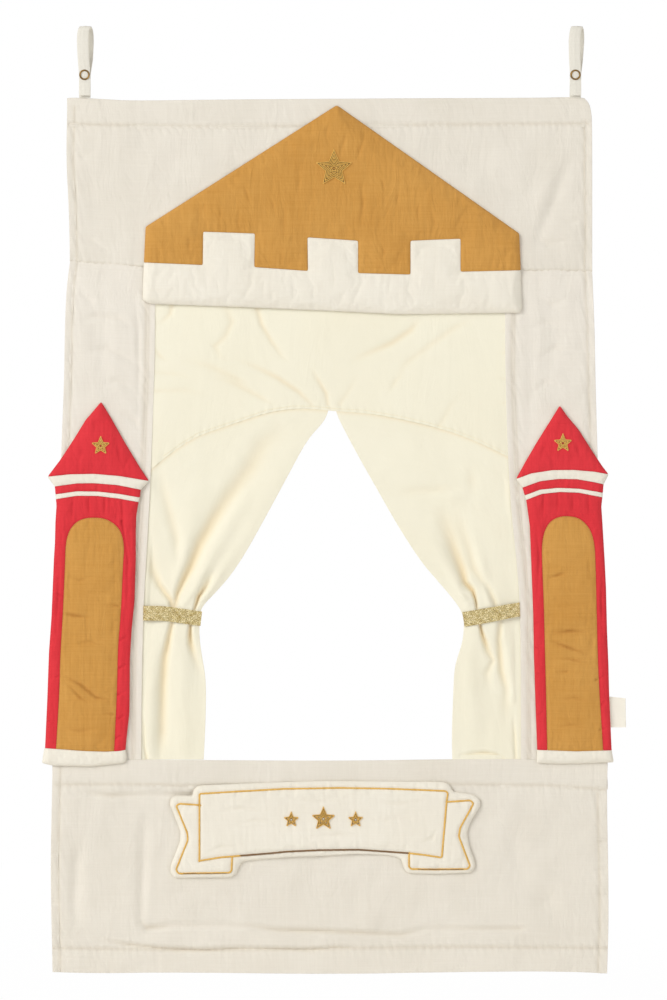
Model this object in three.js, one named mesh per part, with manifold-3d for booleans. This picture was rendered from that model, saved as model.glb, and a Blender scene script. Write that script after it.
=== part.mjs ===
// A hanging puppet theatre: a canvas frame round a stage window, curtains tied back with ribbon,
// and padded castle pieces sewn on the front. It hangs by two strap loops that snap shut.
// Millimetres. X runs across the theatre, Z is up, and the audience sits on the -Y side.
// The origin is midway between the two loops, level with the inside of their crowns.
import * as THREE from 'three';
import { mergeVertices } from 'three/addons/utils/BufferGeometryUtils.js';
import Module from 'manifold-3d';

const wasm = await Module();
wasm.setup();

// Sewing sizes
const fitGap = 0.3;
const canvasThickness = 1.6;
const backingThickness = 0.8;
const backingInset = 2;
const threadHeight = 0.8;
const cutOverrun = 20;

// The canvas frame
const loopLength = 98;
const upperPanelHeight = 228;
const windowHeight = 678;
const lowerPanelHeight = 291;
const upperHalfWidth = 358.5;
const lowerHalfWidth = 380;
const sideStripWidth = 121;
const topCasingHeight = 34;
const sillCasingHeight = 36;
const bottomHemHeight = 36;
const casingSteps = 12;

const topEdgeZ = -loopLength;
const headSeamZ = topEdgeZ - upperPanelHeight;
const sillZ = headSeamZ - windowHeight;
const bottomZ = sillZ - lowerPanelHeight;
const canvasFrontY = -canvasThickness / 2;
const canvasBackY = canvasThickness / 2;

// The rods in the casings
const rodRadius = 5;
const rodClearance = 0.4;
const rodInset = 6;
const rodSides = 24;

// The arch where the curtains join the valance
const archDrop = 199;
const archRise = 82;
const archPower = 2.3;
const archSteps = 40;
const apexOffset = 3;
const apexHalfGap = 5;

// The curtains and their ribbons
const curtainThickness = 1.6;
const curtainColumns = 30;
const upperCurtainRows = 10;
const lowerCurtainRows = 5;
const foldCount = 4;
const foldDepth = 3.6;
const foldWarp = 1.25;
const foldGrowth = 1.6;
const sillFoldShare = 0.7;
const hemShare = 0.12;
const seamClearance = 0.5;
const ribbonHeight = 20;
const ribbonThickness = 1.1;
const ribbonSpread = 7;
const startPasses = 8;

const curtainSides = {
  left: {
    side: -1,
    tieDrop: 803,
    tieSlope: 8,
    gatherWidth: 77,
    inwardShares: [
      [0, 0], [0.16, 0.15], [0.4, 0.35], [0.59, 0.53],
      [0.82, 0.74], [0.91, 0.87], [0.98, 0.98], [1, 1],
    ],
    flareShares: [[0, 0], [0.06, -0.05], [0.15, -0.01], [0.4, 0.09], [0.7, 0.12], [1, 0.13]],
  },
  right: {
    side: 1,
    tieDrop: 798,
    tieSlope: 13,
    gatherWidth: 71,
    inwardShares: [
      [0, 0], [0.05, 0.04], [0.28, 0.2], [0.54, 0.44],
      [0.68, 0.58], [0.81, 0.75], [0.92, 0.9], [1, 1],
    ],
    flareShares: [[0, 0], [0.12, 0.01], [0.27, 0.15], [0.4, 0.2], [0.7, 0.25], [1, 0.28]],
  },
};

// The padded roof and its battlement
const roof = {
  offsetX: 3.6,
  eavesDrop: 279,
  tiltDegrees: 1.2,
  halfWidth: 256.5,
  gableHeight: 171,
  seamDrop: 49,
  bottomDrop: 104.5,
  seamSag: 9,
  bottomSag: 6,
  tipHalfWidth: 2,
  merlonWidth: 69,
  merlonPitch: 141.5,
  merlonHeight: 46,
  merlonCount: 3,
  rim: 2,
  crown: 9,
  margin: 18,
};
const roofEmblem = { height: 82, radius: 27 };

// The padded towers, each measured along its own leaning axis
const towerShape = {
  baseHeight: 20,
  wallHeight: 350,
  thinBandDepth: 6,
  neckDepth: 12,
  eavesDepth: 12,
  seamSag: 8,
  archDrop: 32,
  baseFlare: 2,
  neckFlare: 3.5,
  tipHalfWidth: 1.5,
  outset: 16,
  rim: 2,
  crown: 8,
  margin: 13,
  channelDepth: 1.6,
  emblemRise: 36,
  emblemRadius: 13,
};
const towerSides = {
  left: {
    side: -1,
    sillOverlap: 6.5,
    leanDegrees: 2.84,
    bodyWidth: 111,
    eavesWidth: 137,
    roofHeight: 103,
    archWidth: 80,
    archRise: 35,
  },
  right: {
    side: 1,
    sillOverlap: 3,
    leanDegrees: -2.2,
    bodyWidth: 103,
    eavesWidth: 126,
    roofHeight: 96,
    archWidth: 73,
    archRise: 39,
  },
};
const channelShares = [-0.6, -0.2, 0.2, 0.6];
const channelLipShare = 0.09;

// The padded banner on the lower panel
const banner = {
  offsetX: -9,
  drop: 1099,
  halfWidth: 176,
  top: 56,
  bottom: -48,
  arch: 9,
  rim: 1.5,
  crown: 6,
  margin: 6,
  lineInset: 8,
  lineWidth: 1.8,
  centreStarRadius: 17,
  sideStarRadius: 11,
  starSpacing: 44,
};
const bannerTails = {
  left: { side: -1, reach: 210, notch: 15, inner: 114, top: 45, bottom: -66 },
  right: { side: 1, reach: 213, notch: 18, inner: 109, top: 43, bottom: -61 },
};

// The hanging loops and their ring snaps
const strap = {
  spacing: 336,
  width: 15,
  thickness: 1.2,
  halfDepth: 8,
  crownHeight: 29,
  crownFlatDegrees: 16,
  closeShare: 0.58,
  flapEndClearance: 3.5,
};
const snap = {
  drop: 66,
  capRadius: 7.3,
  capBore: 4.4,
  capThickness: 1.4,
  socketRadius: 5,
  socketBore: 2.4,
  socketThickness: 1.2,
  studRadius: 5,
  studThickness: 0.8,
  postRadius: 1.8,
  plateThickness: 1,
  sides: 20,
};

// The bare tab in the right outer seam
const label = { drop: 918, height: 41, reach: 25, thickness: 1 };

// Materials
const materials = {
  canvas: { color: 0xe9e2d4, roughness: 0.95, metalness: 0 },
  cream: { color: 0xf5efda, roughness: 0.95, metalness: 0 },
  white: { color: 0xf1ebde, roughness: 0.95, metalness: 0 },
  mustard: { color: 0xcd984e, roughness: 0.9, metalness: 0 },
  red: { color: 0xe23a42, roughness: 0.9, metalness: 0 },
  glitter: { color: 0xc6b264, roughness: 0.45, metalness: 0.6 },
  thread: { color: 0xc1923c, roughness: 0.5, metalness: 0.3 },
  brass: { color: 0x8a6a35, roughness: 0.35, metalness: 1 },
  wood: { color: 0xcfae7c, roughness: 0.7, metalness: 0 },
};

const quarterTurn = Math.PI / 2;
const lerp = THREE.MathUtils.lerp;
const clamp = THREE.MathUtils.clamp;
const radians = THREE.MathUtils.degToRad;
const theatre = new THREE.Group();

// Puts a closed geometry in the scene as one named piece
function addPiece(name, geometry, material, parent = theatre) {
  const mesh = new THREE.Mesh(geometry, new THREE.MeshStandardMaterial(materials[material]));
  mesh.name = name;
  parent.add(mesh);
  return mesh;
}

// Reads a table of [place, value] pairs as a line through its points
function tableValue(table, place) {
  const next = table.findIndex((row) => row[0] >= place);
  if (next <= 0) return next === 0 ? table[0][1] : table[table.length - 1][1];
  const [lowPlace, lowValue] = table[next - 1];
  const [highPlace, highValue] = table[next];
  return lerp(lowValue, highValue, (place - lowPlace) / (highPlace - lowPlace));
}

// A shape from points in the plane, wound one way so that its hole can be wound the other
function shapeOf(points, hole) {
  const contour = points.map(([a, b]) => new THREE.Vector2(a, b));
  if (THREE.ShapeUtils.isClockWise(contour)) contour.reverse();
  const shape = new THREE.Shape(contour);
  if (hole) shape.holes.push(new THREE.Path(hole.map(([a, b]) => new THREE.Vector2(a, b))));
  return shape;
}

// A flat piece: an outline in X and Z, as thick as given, in front of backY
function slab(points, backY, thickness, hole = null) {
  const options = { depth: thickness, bevelEnabled: false };
  const geometry = new THREE.ExtrudeGeometry(shapeOf(points, hole), options);
  geometry.rotateX(quarterTurn);
  geometry.translate(0, backY, 0);
  return geometry;
}

// A section in Y and Z that runs along X, centred on centreX
function runAlongX(points, length, centreX, hole = null) {
  const options = { depth: length, bevelEnabled: false };
  const geometry = new THREE.ExtrudeGeometry(shapeOf(points, hole), options);
  const turn = new THREE.Matrix4().makeBasis(
    new THREE.Vector3(0, 1, 0),
    new THREE.Vector3(0, 0, 1),
    new THREE.Vector3(1, 0, 0),
  );
  geometry.applyMatrix4(turn);
  geometry.translate(centreX - length / 2, 0, 0);
  return geometry;
}

// Booleans on closed geometries
function toSolid(geometry) {
  const bare = geometry.clone();
  bare.deleteAttribute('normal');
  bare.deleteAttribute('uv');
  const merged = mergeVertices(bare);
  const mesh = new wasm.Mesh({
    numProp: 3,
    vertProperties: new Float32Array(merged.attributes.position.array),
    triVerts: new Uint32Array(merged.index.array),
  });
  return new wasm.Manifold(mesh);
}

function fromSolid(solid) {
  const mesh = solid.getMesh();
  const positions = new Float32Array(mesh.vertProperties);
  const geometry = new THREE.BufferGeometry();
  geometry.setAttribute('position', new THREE.BufferAttribute(positions, mesh.numProp));
  geometry.setIndex(new THREE.BufferAttribute(new Uint32Array(mesh.triVerts), 1));
  return geometry;
}

// The outer and inner edges of the side strips, which splay outward towards the sill
function outerEdgeX(z) {
  return lerp(upperHalfWidth, lowerHalfWidth, (headSeamZ - z) / windowHeight);
}

function innerEdgeX(z) {
  return outerEdgeX(z) - sideStripWidth;
}

// A canvas panel whose top edge is folded back into a casing for a rod
function casingPanel(topZ, casingHeight, lowZ, halfWidth, hemHeight) {
  const layer = canvasThickness / 2;
  const seamZ = topZ - casingHeight;
  const pocketDepth = 2 * (rodRadius + rodClearance);
  const bulge = (share) => pocketDepth * Math.sin(Math.PI * share);
  const outline = [[canvasFrontY, lowZ], [canvasFrontY, topZ]];
  const pocket = [];
  for (let i = casingSteps; i >= 0; i--) {
    const share = i / casingSteps;
    outline.push([layer + bulge(share), lerp(seamZ, topZ, share)]);
    pocket.push([bulge(share), lerp(seamZ + layer, topZ - layer, share)]);
  }
  if (hemHeight > 0) {
    outline.push([canvasBackY, lowZ + hemHeight]);
    outline.push([canvasBackY + layer, lowZ + hemHeight]);
    outline.push([canvasBackY + layer, lowZ]);
  } else {
    outline.push([canvasBackY, lowZ]);
  }
  return runAlongX(outline, 2 * halfWidth, 0, pocket);
}

function addRod(name, casingTopZ, casingHeight, halfWidth) {
  const length = 2 * (halfWidth - rodInset);
  const geometry = new THREE.CylinderGeometry(rodRadius, rodRadius, length, rodSides);
  geometry.rotateZ(quarterTurn);
  const rod = addPiece(name, geometry, 'wood');
  rod.position.set(0, rodRadius + rodClearance, casingTopZ - casingHeight / 2);
}

function addCanvas() {
  const upper = casingPanel(topEdgeZ, topCasingHeight, headSeamZ, upperHalfWidth, 0);
  const lower = casingPanel(sillZ, sillCasingHeight, bottomZ, lowerHalfWidth, bottomHemHeight);
  addPiece('upper_panel', upper, 'canvas');
  addPiece('lower_panel', lower, 'canvas');
  addRod('top_rod', topEdgeZ, topCasingHeight, upperHalfWidth);
  addRod('sill_rod', sillZ, sillCasingHeight, lowerHalfWidth);
  const stripTopZ = headSeamZ - fitGap;
  const stripBottomZ = sillZ + fitGap;
  for (const [name, side] of [['left_side_strip', -1], ['right_side_strip', 1]]) {
    const outline = [
      [side * innerEdgeX(stripTopZ), stripTopZ],
      [side * outerEdgeX(stripTopZ), stripTopZ],
      [side * outerEdgeX(stripBottomZ), stripBottomZ],
      [side * innerEdgeX(stripBottomZ), stripBottomZ],
    ];
    addPiece(name, slab(outline, canvasBackY, canvasThickness), 'canvas');
  }
  const tabTopZ = -label.drop;
  const tabBottomZ = tabTopZ - label.height;
  const tab = [
    [outerEdgeX(tabTopZ) + fitGap, tabTopZ],
    [outerEdgeX(tabTopZ) + label.reach, tabTopZ],
    [outerEdgeX(tabTopZ) + label.reach, tabBottomZ],
    [outerEdgeX(tabBottomZ) + fitGap, tabBottomZ],
  ];
  addPiece('side_label', slab(tab, label.thickness / 2, label.thickness), 'white');
}

// The arch seam: level in the middle and falling faster towards the strips
const archSpringZ = headSeamZ - archDrop - archRise;

function archZ(x) {
  const span = innerEdgeX(archSpringZ);
  return archSpringZ + archRise * (1 - Math.pow(Math.min(Math.abs(x) / span, 1), archPower));
}

function addValance() {
  const topZ = headSeamZ - fitGap;
  const halfTop = innerEdgeX(topZ) - fitGap;
  const halfBottom = innerEdgeX(archSpringZ) - fitGap;
  const outline = [[halfTop, topZ], [-halfTop, topZ]];
  for (let i = 0; i <= archSteps; i++) {
    const x = lerp(-halfBottom, halfBottom, i / archSteps);
    outline.push([x, archZ(x)]);
  }
  addPiece('valance', slab(outline, canvasBackY, canvasThickness), 'cream');
}

// A sheet of cloth as a closed body: place(u, v) gives the middle of its thickness
function clothSolid(columns, rows, thickness, place) {
  const positions = [];
  for (const offset of [-thickness / 2, thickness / 2]) {
    for (const v of rows) {
      for (let i = 0; i <= columns; i++) {
        const [x, y, z] = place(i / columns, v);
        positions.push(x, y + offset, z);
      }
    }
  }
  const width = columns + 1;
  const layer = width * rows.length;
  const index = [];
  const quad = (a, b, c, d) => index.push(a, b, c, a, c, d);
  for (let r = 0; r < rows.length - 1; r++) {
    for (let i = 0; i < columns; i++) {
      const a = r * width + i;
      quad(a, a + width, a + width + 1, a + 1);
      quad(layer + a, layer + a + 1, layer + a + width + 1, layer + a + width);
    }
    const first = r * width;
    const last = first + columns;
    quad(first, first + layer, first + layer + width, first + width);
    quad(last, last + width, last + width + layer, last + layer);
  }
  for (let i = 0; i < columns; i++) {
    const top = i;
    const low = layer - width + i;
    quad(top, top + 1, top + 1 + layer, top + layer);
    quad(low, low + layer, low + layer + 1, low + 1);
  }
  const geometry = new THREE.BufferGeometry();
  geometry.setAttribute('position', new THREE.Float32BufferAttribute(positions, 3));
  geometry.setIndex(index);
  return geometry;
}

function flipped(geometry) {
  const index = geometry.index.array;
  for (let i = 0; i < index.length; i += 3) {
    [index[i], index[i + 1]] = [index[i + 1], index[i]];
  }
  return geometry;
}

// The height at which a curtain's thread starts on the arch seam, found with the hem's place there
function threadStartZ(apexReach, u) {
  let z = archSpringZ;
  for (let pass = 0; pass < startPasses; pass++) {
    const hemX = innerEdgeX(z) - fitGap;
    z = archZ(hemX - u * (hemX - apexReach)) - seamClearance;
  }
  return z;
}

// One curtain: its threads run from the arch down to the gather at the ribbon, and flare below it.
// v is 0 at the arch, 1 and 2 at the upper and lower edge of the gather, and 3 at the sill.
function curtainPlace(shape, u, v) {
  const { side, tieDrop, tieSlope, gatherWidth } = shape;
  const gatherHalfHeight = ribbonHeight / 2 + fitGap;
  const gatherZ = -tieDrop - tieSlope * u;
  const apexReach = side * apexOffset + apexHalfGap;
  const upperShare = Math.min(v, 1);
  const inwardShare = tableValue(shape.inwardShares, upperShare);
  let z = lerp(threadStartZ(apexReach, u), gatherZ + gatherHalfHeight, upperShare);
  let width = lerp(innerEdgeX(z) - fitGap - apexReach, gatherWidth, inwardShare);
  if (v > 1) z = lerp(gatherZ + gatherHalfHeight, gatherZ - gatherHalfHeight, Math.min(v - 1, 1));
  if (v > 2) {
    z = lerp(gatherZ - gatherHalfHeight, sillZ + seamClearance, v - 2);
    width = gatherWidth * (1 + tableValue(shape.flareShares, v - 2));
  }
  const x = side * (innerEdgeX(z) - fitGap - u * width);
  const pleat = Math.sin(2 * Math.PI * foldCount * Math.pow(u, foldWarp));
  const fullness = v <= 1 ? Math.pow(v, foldGrowth) : lerp(1, sillFoldShare, clamp(v - 2, 0, 1));
  const nearHem = Math.min(u / hemShare, 1);
  return [x, foldDepth * pleat * fullness * nearHem, z];
}

function addCurtain(name, shape) {
  const rows = [];
  for (let i = 0; i <= upperCurtainRows; i++) rows.push(i / upperCurtainRows);
  for (let i = 0; i <= lowerCurtainRows; i++) rows.push(2 + i / lowerCurtainRows);
  const place = (u, v) => curtainPlace(shape, u, v);
  const geometry = clothSolid(curtainColumns, rows, curtainThickness, place);
  addPiece(name, shape.side < 0 ? geometry : flipped(geometry), 'cream');
}

// A ribbon round the gather: from the hem out over the folds, and round their free edge to the middle
function addRibbon(name, shape, face) {
  const { side, tieDrop, tieSlope, gatherWidth } = shape;
  const innerFaceY = foldDepth + curtainThickness / 2 + fitGap;
  const outerFaceY = innerFaceY + ribbonThickness;
  const startY = curtainThickness / 2 + fitGap;
  const wrapX = gatherWidth + 2 * fitGap;
  const outline = [
    [fitGap, startY],
    [ribbonSpread, innerFaceY],
    [wrapX, innerFaceY],
    [wrapX, fitGap / 2],
    [wrapX + ribbonThickness, fitGap / 2],
    [wrapX + ribbonThickness, innerFaceY],
    [wrapX, outerFaceY],
    [ribbonSpread, outerFaceY],
    [fitGap, startY + ribbonThickness],
  ];
  const hemX = innerEdgeX(-tieDrop);
  const points = outline.map(([reach, y]) => new THREE.Vector2(side * (hemX - reach), face * y));
  const options = { depth: ribbonHeight, bevelEnabled: false };
  const geometry = new THREE.ExtrudeGeometry(new THREE.Shape(points), options);
  geometry.translate(0, 0, -tieDrop - ribbonHeight / 2);
  const position = geometry.attributes.position;
  for (let i = 0; i < position.count; i++) {
    const reach = hemX - side * position.getX(i);
    const z = position.getZ(i) - tieSlope * reach / gatherWidth;
    position.setXYZ(i, side * (innerEdgeX(z) - reach), position.getY(i), z);
  }
  addPiece(name, geometry, 'glitter');
}

// Where the rows and columns of a pad's margin lie
const rimShares = [0, 0.3, 0.65];

// A sewn pad: a thin rim that swells to a flat crown, with its back flat on y = 0.
// rows holds the heights, edgesAt gives the left and right edge, and columnShares the places between.
function padSolid(pad, rows, edgesAt, columnShares, dent = () => 0, bend = (x, z) => z) {
  const widestMarginShare = 0.35;
  const lowZ = rows[0];
  const highZ = rows[rows.length - 1];
  const swell = (distance, margin) => Math.sin(quarterTurn * clamp(distance / margin, 0, 1));
  const grid = rows.map((z) => {
    const [left, right] = edgesAt(z);
    const half = (right - left) / 2;
    const middle = (right + left) / 2;
    const margin = Math.min(pad.margin, half * widestMarginShare);
    const inner = half - margin;
    const places = [
      ...rimShares.map((share) => [-half + share * margin, swell(share, 1)]),
      ...columnShares.map((share) => [share * inner, 1]),
      ...rimShares.toReversed().map((share) => [half - share * margin, swell(share, 1)]),
    ];
    const rise = swell(Math.min(z - lowZ, highZ - z), pad.margin);
    const fullnessShare = margin / pad.margin;
    return places.map(([place, side], column) => {
      const crown = (pad.crown - pad.rim) * side * rise * fullnessShare;
      const x = middle + place;
      return [x, -pad.rim - crown + dent(columnShares[column - rimShares.length], z), bend(x, z)];
    });
  });
  const rowCount = grid.length;
  const columnCount = grid[0].length;
  const positions = grid.flat(2);
  const at = (r, c) => r * columnCount + c;
  const index = [];
  for (let r = 0; r < rowCount - 1; r++) {
    for (let c = 0; c < columnCount - 1; c++) {
      index.push(at(r, c), at(r, c + 1), at(r + 1, c + 1));
      index.push(at(r, c), at(r + 1, c + 1), at(r + 1, c));
    }
  }
  const loop = [];
  for (let c = 0; c < columnCount - 1; c++) loop.push(at(0, c));
  for (let r = 0; r < rowCount - 1; r++) loop.push(at(r, columnCount - 1));
  for (let c = columnCount - 1; c > 0; c--) loop.push(at(rowCount - 1, c));
  for (let r = rowCount - 1; r > 0; r--) loop.push(at(r, 0));
  const firstBack = positions.length / 3;
  const contour = loop.map((vertex) => {
    const x = positions[3 * vertex];
    const z = positions[3 * vertex + 2];
    positions.push(x, 0, z);
    return new THREE.Vector2(x, z);
  });
  for (let i = 0; i < loop.length; i++) {
    const next = (i + 1) % loop.length;
    index.push(loop[i], firstBack + i, firstBack + next);
    index.push(loop[i], firstBack + next, loop[next]);
  }
  for (const [a, b, c] of THREE.ShapeUtils.triangulateShape(contour, [])) {
    index.push(firstBack + a, firstBack + c, firstBack + b);
  }
  const geometry = new THREE.BufferGeometry();
  geometry.setAttribute('position', new THREE.Float32BufferAttribute(positions, 3));
  geometry.setIndex(index);
  return toSolid(geometry);
}

// The whole depth of a pad, as a cutter or a keeper with the given outline
function padCutter(points) {
  return toSolid(slab(points, cutOverrun, 2 * cutOverrun));
}

// Heights for a pad's rows: close together in its margins, and even between the stops
function padRows(pad, stops, step) {
  const low = stops[0];
  const high = stops[stops.length - 1];
  const marginHeights = [...rimShares, 1].flatMap((share) => [
    low + share * pad.margin,
    high - share * pad.margin,
  ]);
  const heights = new Set([...stops, ...marginHeights]);
  for (let i = 0; i < stops.length - 1; i++) {
    const count = Math.ceil((stops[i + 1] - stops[i]) / step);
    for (let k = 1; k < count; k++) heights.add(lerp(stops[i], stops[i + 1], k / count));
  }
  const sorted = [...heights].sort((a, b) => a - b);
  const apart = (i) => i === 0 || sorted[i] - sorted[i - 1] > pad.rim;
  return sorted.filter((height, i) => stops.includes(height) || apart(i));
}

function starOutline(centreX, centreZ, radius) {
  const points = [];
  const rays = 5;
  const waistShare = 0.45;
  for (let i = 0; i < 2 * rays; i++) {
    const reach = i % 2 === 0 ? radius : radius * waistShare;
    const angle = quarterTurn + i * Math.PI / rays;
    points.push([centreX + reach * Math.cos(angle), centreZ + reach * Math.sin(angle)]);
  }
  return points;
}

// A thread line along a path, as thick on each side as half its width
function threadLine(path, width, closed) {
  const count = path.length;
  const leastMiter = 0.5;
  const sides = [1, -1].map((sign) => path.map(([x, z], i) => {
    const before = path[closed ? (i + count - 1) % count : Math.max(i - 1, 0)];
    const after = path[closed ? (i + 1) % count : Math.min(i + 1, count - 1)];
    const arriving = new THREE.Vector2(x - before[0], z - before[1]).normalize();
    const leaving = new THREE.Vector2(after[0] - x, after[1] - z).normalize();
    const along = arriving.clone().add(leaving).normalize();
    const miter = Math.max(along.dot(arriving.length() > 0 ? arriving : leaving), leastMiter);
    const reach = sign * width / 2 / miter;
    return [x - along.y * reach, z + along.x * reach];
  }));
  return sides;
}

const padBackY = canvasFrontY - fitGap - backingThickness - fitGap;
const widePadShares = [-1, -0.75, -0.5, -0.25, 0, 0.25, 0.5, 0.75, 1];
const seamSteps = 12;

// The roof: one pad, parted along the battlement's edge
function addRoof() {
  const group = new THREE.Group();
  group.position.set(roof.offsetX, 0, -roof.eavesDrop);
  group.rotation.y = radians(roof.tiltDegrees);
  theatre.add(group);
  const { halfWidth, gableHeight, bottomDrop, tipHalfWidth } = roof;
  const arching = (x) => 1 - Math.pow(clamp(x / halfWidth, -1, 1), 2);
  const seamZ = (x) => -roof.seamDrop - roof.seamSag * arching(x);
  const edgesAt = (z) => {
    const half = z <= 0 ? halfWidth : lerp(halfWidth, tipHalfWidth, z / gableHeight);
    return [-half, half];
  };
  const bend = (x, z) => z - roof.bottomSag * arching(x) * clamp(-z / bottomDrop, 0, 1);
  const rows = padRows(roof, [-bottomDrop, 0, gableHeight], 2 * roof.margin);
  const pad = padSolid(roof, rows, edgesAt, widePadShares, () => 0, bend);

  // The battlement's outline, grown on all sides by the seam's gap for the piece above it
  const battlementOutline = (grow) => {
    const farX = halfWidth + cutOverrun;
    const farZ = -bottomDrop - roof.bottomSag - cutOverrun;
    const points = [[-farX, farZ], [farX, farZ], [farX, seamZ(farX) + grow]];
    for (let i = roof.merlonCount - 1; i >= 0; i--) {
      const centre = (i - (roof.merlonCount - 1) / 2) * roof.merlonPitch;
      const half = roof.merlonWidth / 2 + grow;
      const topZ = seamZ(centre) + roof.merlonHeight + grow;
      points.push([centre + half, seamZ(centre + half) + grow], [centre + half, topZ]);
      points.push([centre - half, topZ], [centre - half, seamZ(centre - half) + grow]);
    }
    points.push([-farX, seamZ(-farX) + grow]);
    return points;
  };
  const gable = fromSolid(pad.subtract(padCutter(battlementOutline(fitGap))));
  const wall = fromSolid(pad.intersect(padCutter(battlementOutline(0))));
  addPiece('roof_gable', gable, 'mustard', group).position.y = padBackY;
  addPiece('battlement', wall, 'white', group).position.y = padBackY;

  const inset = backingInset;
  const backing = [
    [-halfWidth + inset, -bottomDrop + inset],
    [halfWidth - inset, -bottomDrop + inset],
    [halfWidth - inset, -inset],
    [0, gableHeight - 2 * inset],
    [-halfWidth + inset, -inset],
  ];
  addPiece('roof_backing', slab(backing, canvasFrontY - fitGap, backingThickness), 'white', group);
  const star = starOutline(0, roofEmblem.height, roofEmblem.radius);
  addPiece('roof_emblem', slab(star, padBackY - roof.crown - fitGap, threadHeight), 'thread', group);
}

// A tower: one pad from its base hem to its roof tip, parted along the seams of its bands
function addTower(prefix, size) {
  const shape = towerShape;
  const bodyHalf = size.bodyWidth / 2;
  const eavesHalf = size.eavesWidth / 2;
  const thinBandHeight = shape.baseHeight + shape.wallHeight;
  const neckHeight = thinBandHeight + shape.thinBandDepth;
  const eavesHeight = neckHeight + shape.neckDepth;
  const eavesTopHeight = eavesHeight + shape.eavesDepth;
  const archHeight = thinBandHeight - shape.archDrop;
  const cornerHeight = eavesTopHeight - shape.seamSag;
  const tipHeight = cornerHeight + size.roofHeight;
  const group = new THREE.Group();
  const baseX = (outerEdgeX(sillZ) + innerEdgeX(sillZ)) / 2 + shape.outset;
  group.position.set(size.side * baseX, 0, sillZ - size.sillOverlap);
  group.rotation.y = radians(size.leanDegrees);
  theatre.add(group);

  const widths = [
    [0, bodyHalf + shape.baseFlare],
    [shape.baseHeight, bodyHalf],
    [thinBandHeight - shape.seamSag, bodyHalf],
    [eavesHeight - shape.seamSag, bodyHalf + shape.neckFlare],
    [cornerHeight, eavesHalf],
    [tipHeight, shape.tipHalfWidth],
  ];
  const edgesAt = (z) => {
    const half = tableValue(widths, z);
    return [-half, half];
  };
  const columnShares = channelShares.flatMap((share) => {
    return [share - channelLipShare, share, share + channelLipShare];
  });
  const dent = (share, z) => {
    const quilted = channelShares.includes(share) && z >= archHeight && z <= thinBandHeight;
    return quilted ? shape.channelDepth : 0;
  };
  const stops = [0, shape.baseHeight, archHeight, thinBandHeight, cornerHeight, tipHeight];
  const rows = padRows(shape, stops, 4 * shape.margin);
  const pad = padSolid(shape, rows, edgesAt, [-1, ...columnShares, 1], dent);

  // A band between two seams that arch up in the middle
  const seam = (height, sag, shift) => {
    const points = [];
    const farX = eavesHalf + cutOverrun;
    for (let i = 0; i <= seamSteps; i++) {
      const x = lerp(-farX, farX, i / seamSteps);
      points.push([x, height + shift - sag * Math.pow(x / bodyHalf, 2)]);
    }
    return points;
  };
  const half = fitGap / 2;
  const sag = shape.seamSag;
  const band = (low, lowSag, high, highSag) => padCutter([
    ...seam(low, lowSag, half),
    ...seam(high, highSag, -half).reverse(),
  ]);
  const archOutline = (grow) => {
    const halfArch = size.archWidth / 2 + grow;
    const spring = archHeight - size.archRise;
    const rise = size.archRise + grow;
    const points = [[halfArch, shape.baseHeight + half]];
    for (let i = 0; i <= seamSteps; i++) {
      const angle = Math.PI * i / seamSteps;
      points.push([halfArch * Math.cos(angle), spring + rise * Math.sin(angle)]);
    }
    points.push([-halfArch, shape.baseHeight + half]);
    return points;
  };
  const add = (name, solid, material) => {
    addPiece(`${prefix}_${name}`, fromSolid(solid), material, group).position.y = padBackY;
  };
  const farLow = -cutOverrun;
  const farHigh = tipHeight + cutOverrun + sag * Math.pow((eavesHalf + cutOverrun) / bodyHalf, 2);
  add('base_hem', pad.intersect(band(farLow, 0, shape.baseHeight, 0)), 'white');
  const wall = pad.intersect(band(shape.baseHeight, 0, thinBandHeight, sag));
  add('body', wall.subtract(padCutter(archOutline(fitGap))), 'red');
  add('arch_window', wall.intersect(padCutter(archOutline(0))), 'mustard');
  add('thin_band', pad.intersect(band(thinBandHeight, sag, neckHeight, sag)), 'white');
  add('neck_band', pad.intersect(band(neckHeight, sag, eavesHeight, sag)), 'red');
  add('eaves_band', pad.intersect(band(eavesHeight, sag, eavesTopHeight, sag)), 'white');
  add('roof', pad.intersect(band(eavesTopHeight, sag, farHigh, sag)), 'red');

  const inset = backingInset;
  const rightEdge = widths.map(([height, halfWidth]) => [Math.max(halfWidth - inset, inset), height]);
  rightEdge[0][1] += inset;
  rightEdge[rightEdge.length - 1][1] -= 2 * inset;
  const leftEdge = rightEdge.map(([x, z]) => [-x, z]).reverse();
  const backing = slab([...rightEdge, ...leftEdge], canvasFrontY - fitGap, backingThickness);
  addPiece(`${prefix}_backing`, backing, 'white', group);
  const star = starOutline(0, eavesTopHeight + shape.emblemRise, shape.emblemRadius);
  const emblem = slab(star, padBackY - shape.crown - fitGap, threadHeight);
  addPiece(`${prefix}_emblem`, emblem, 'thread', group);
}

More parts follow.
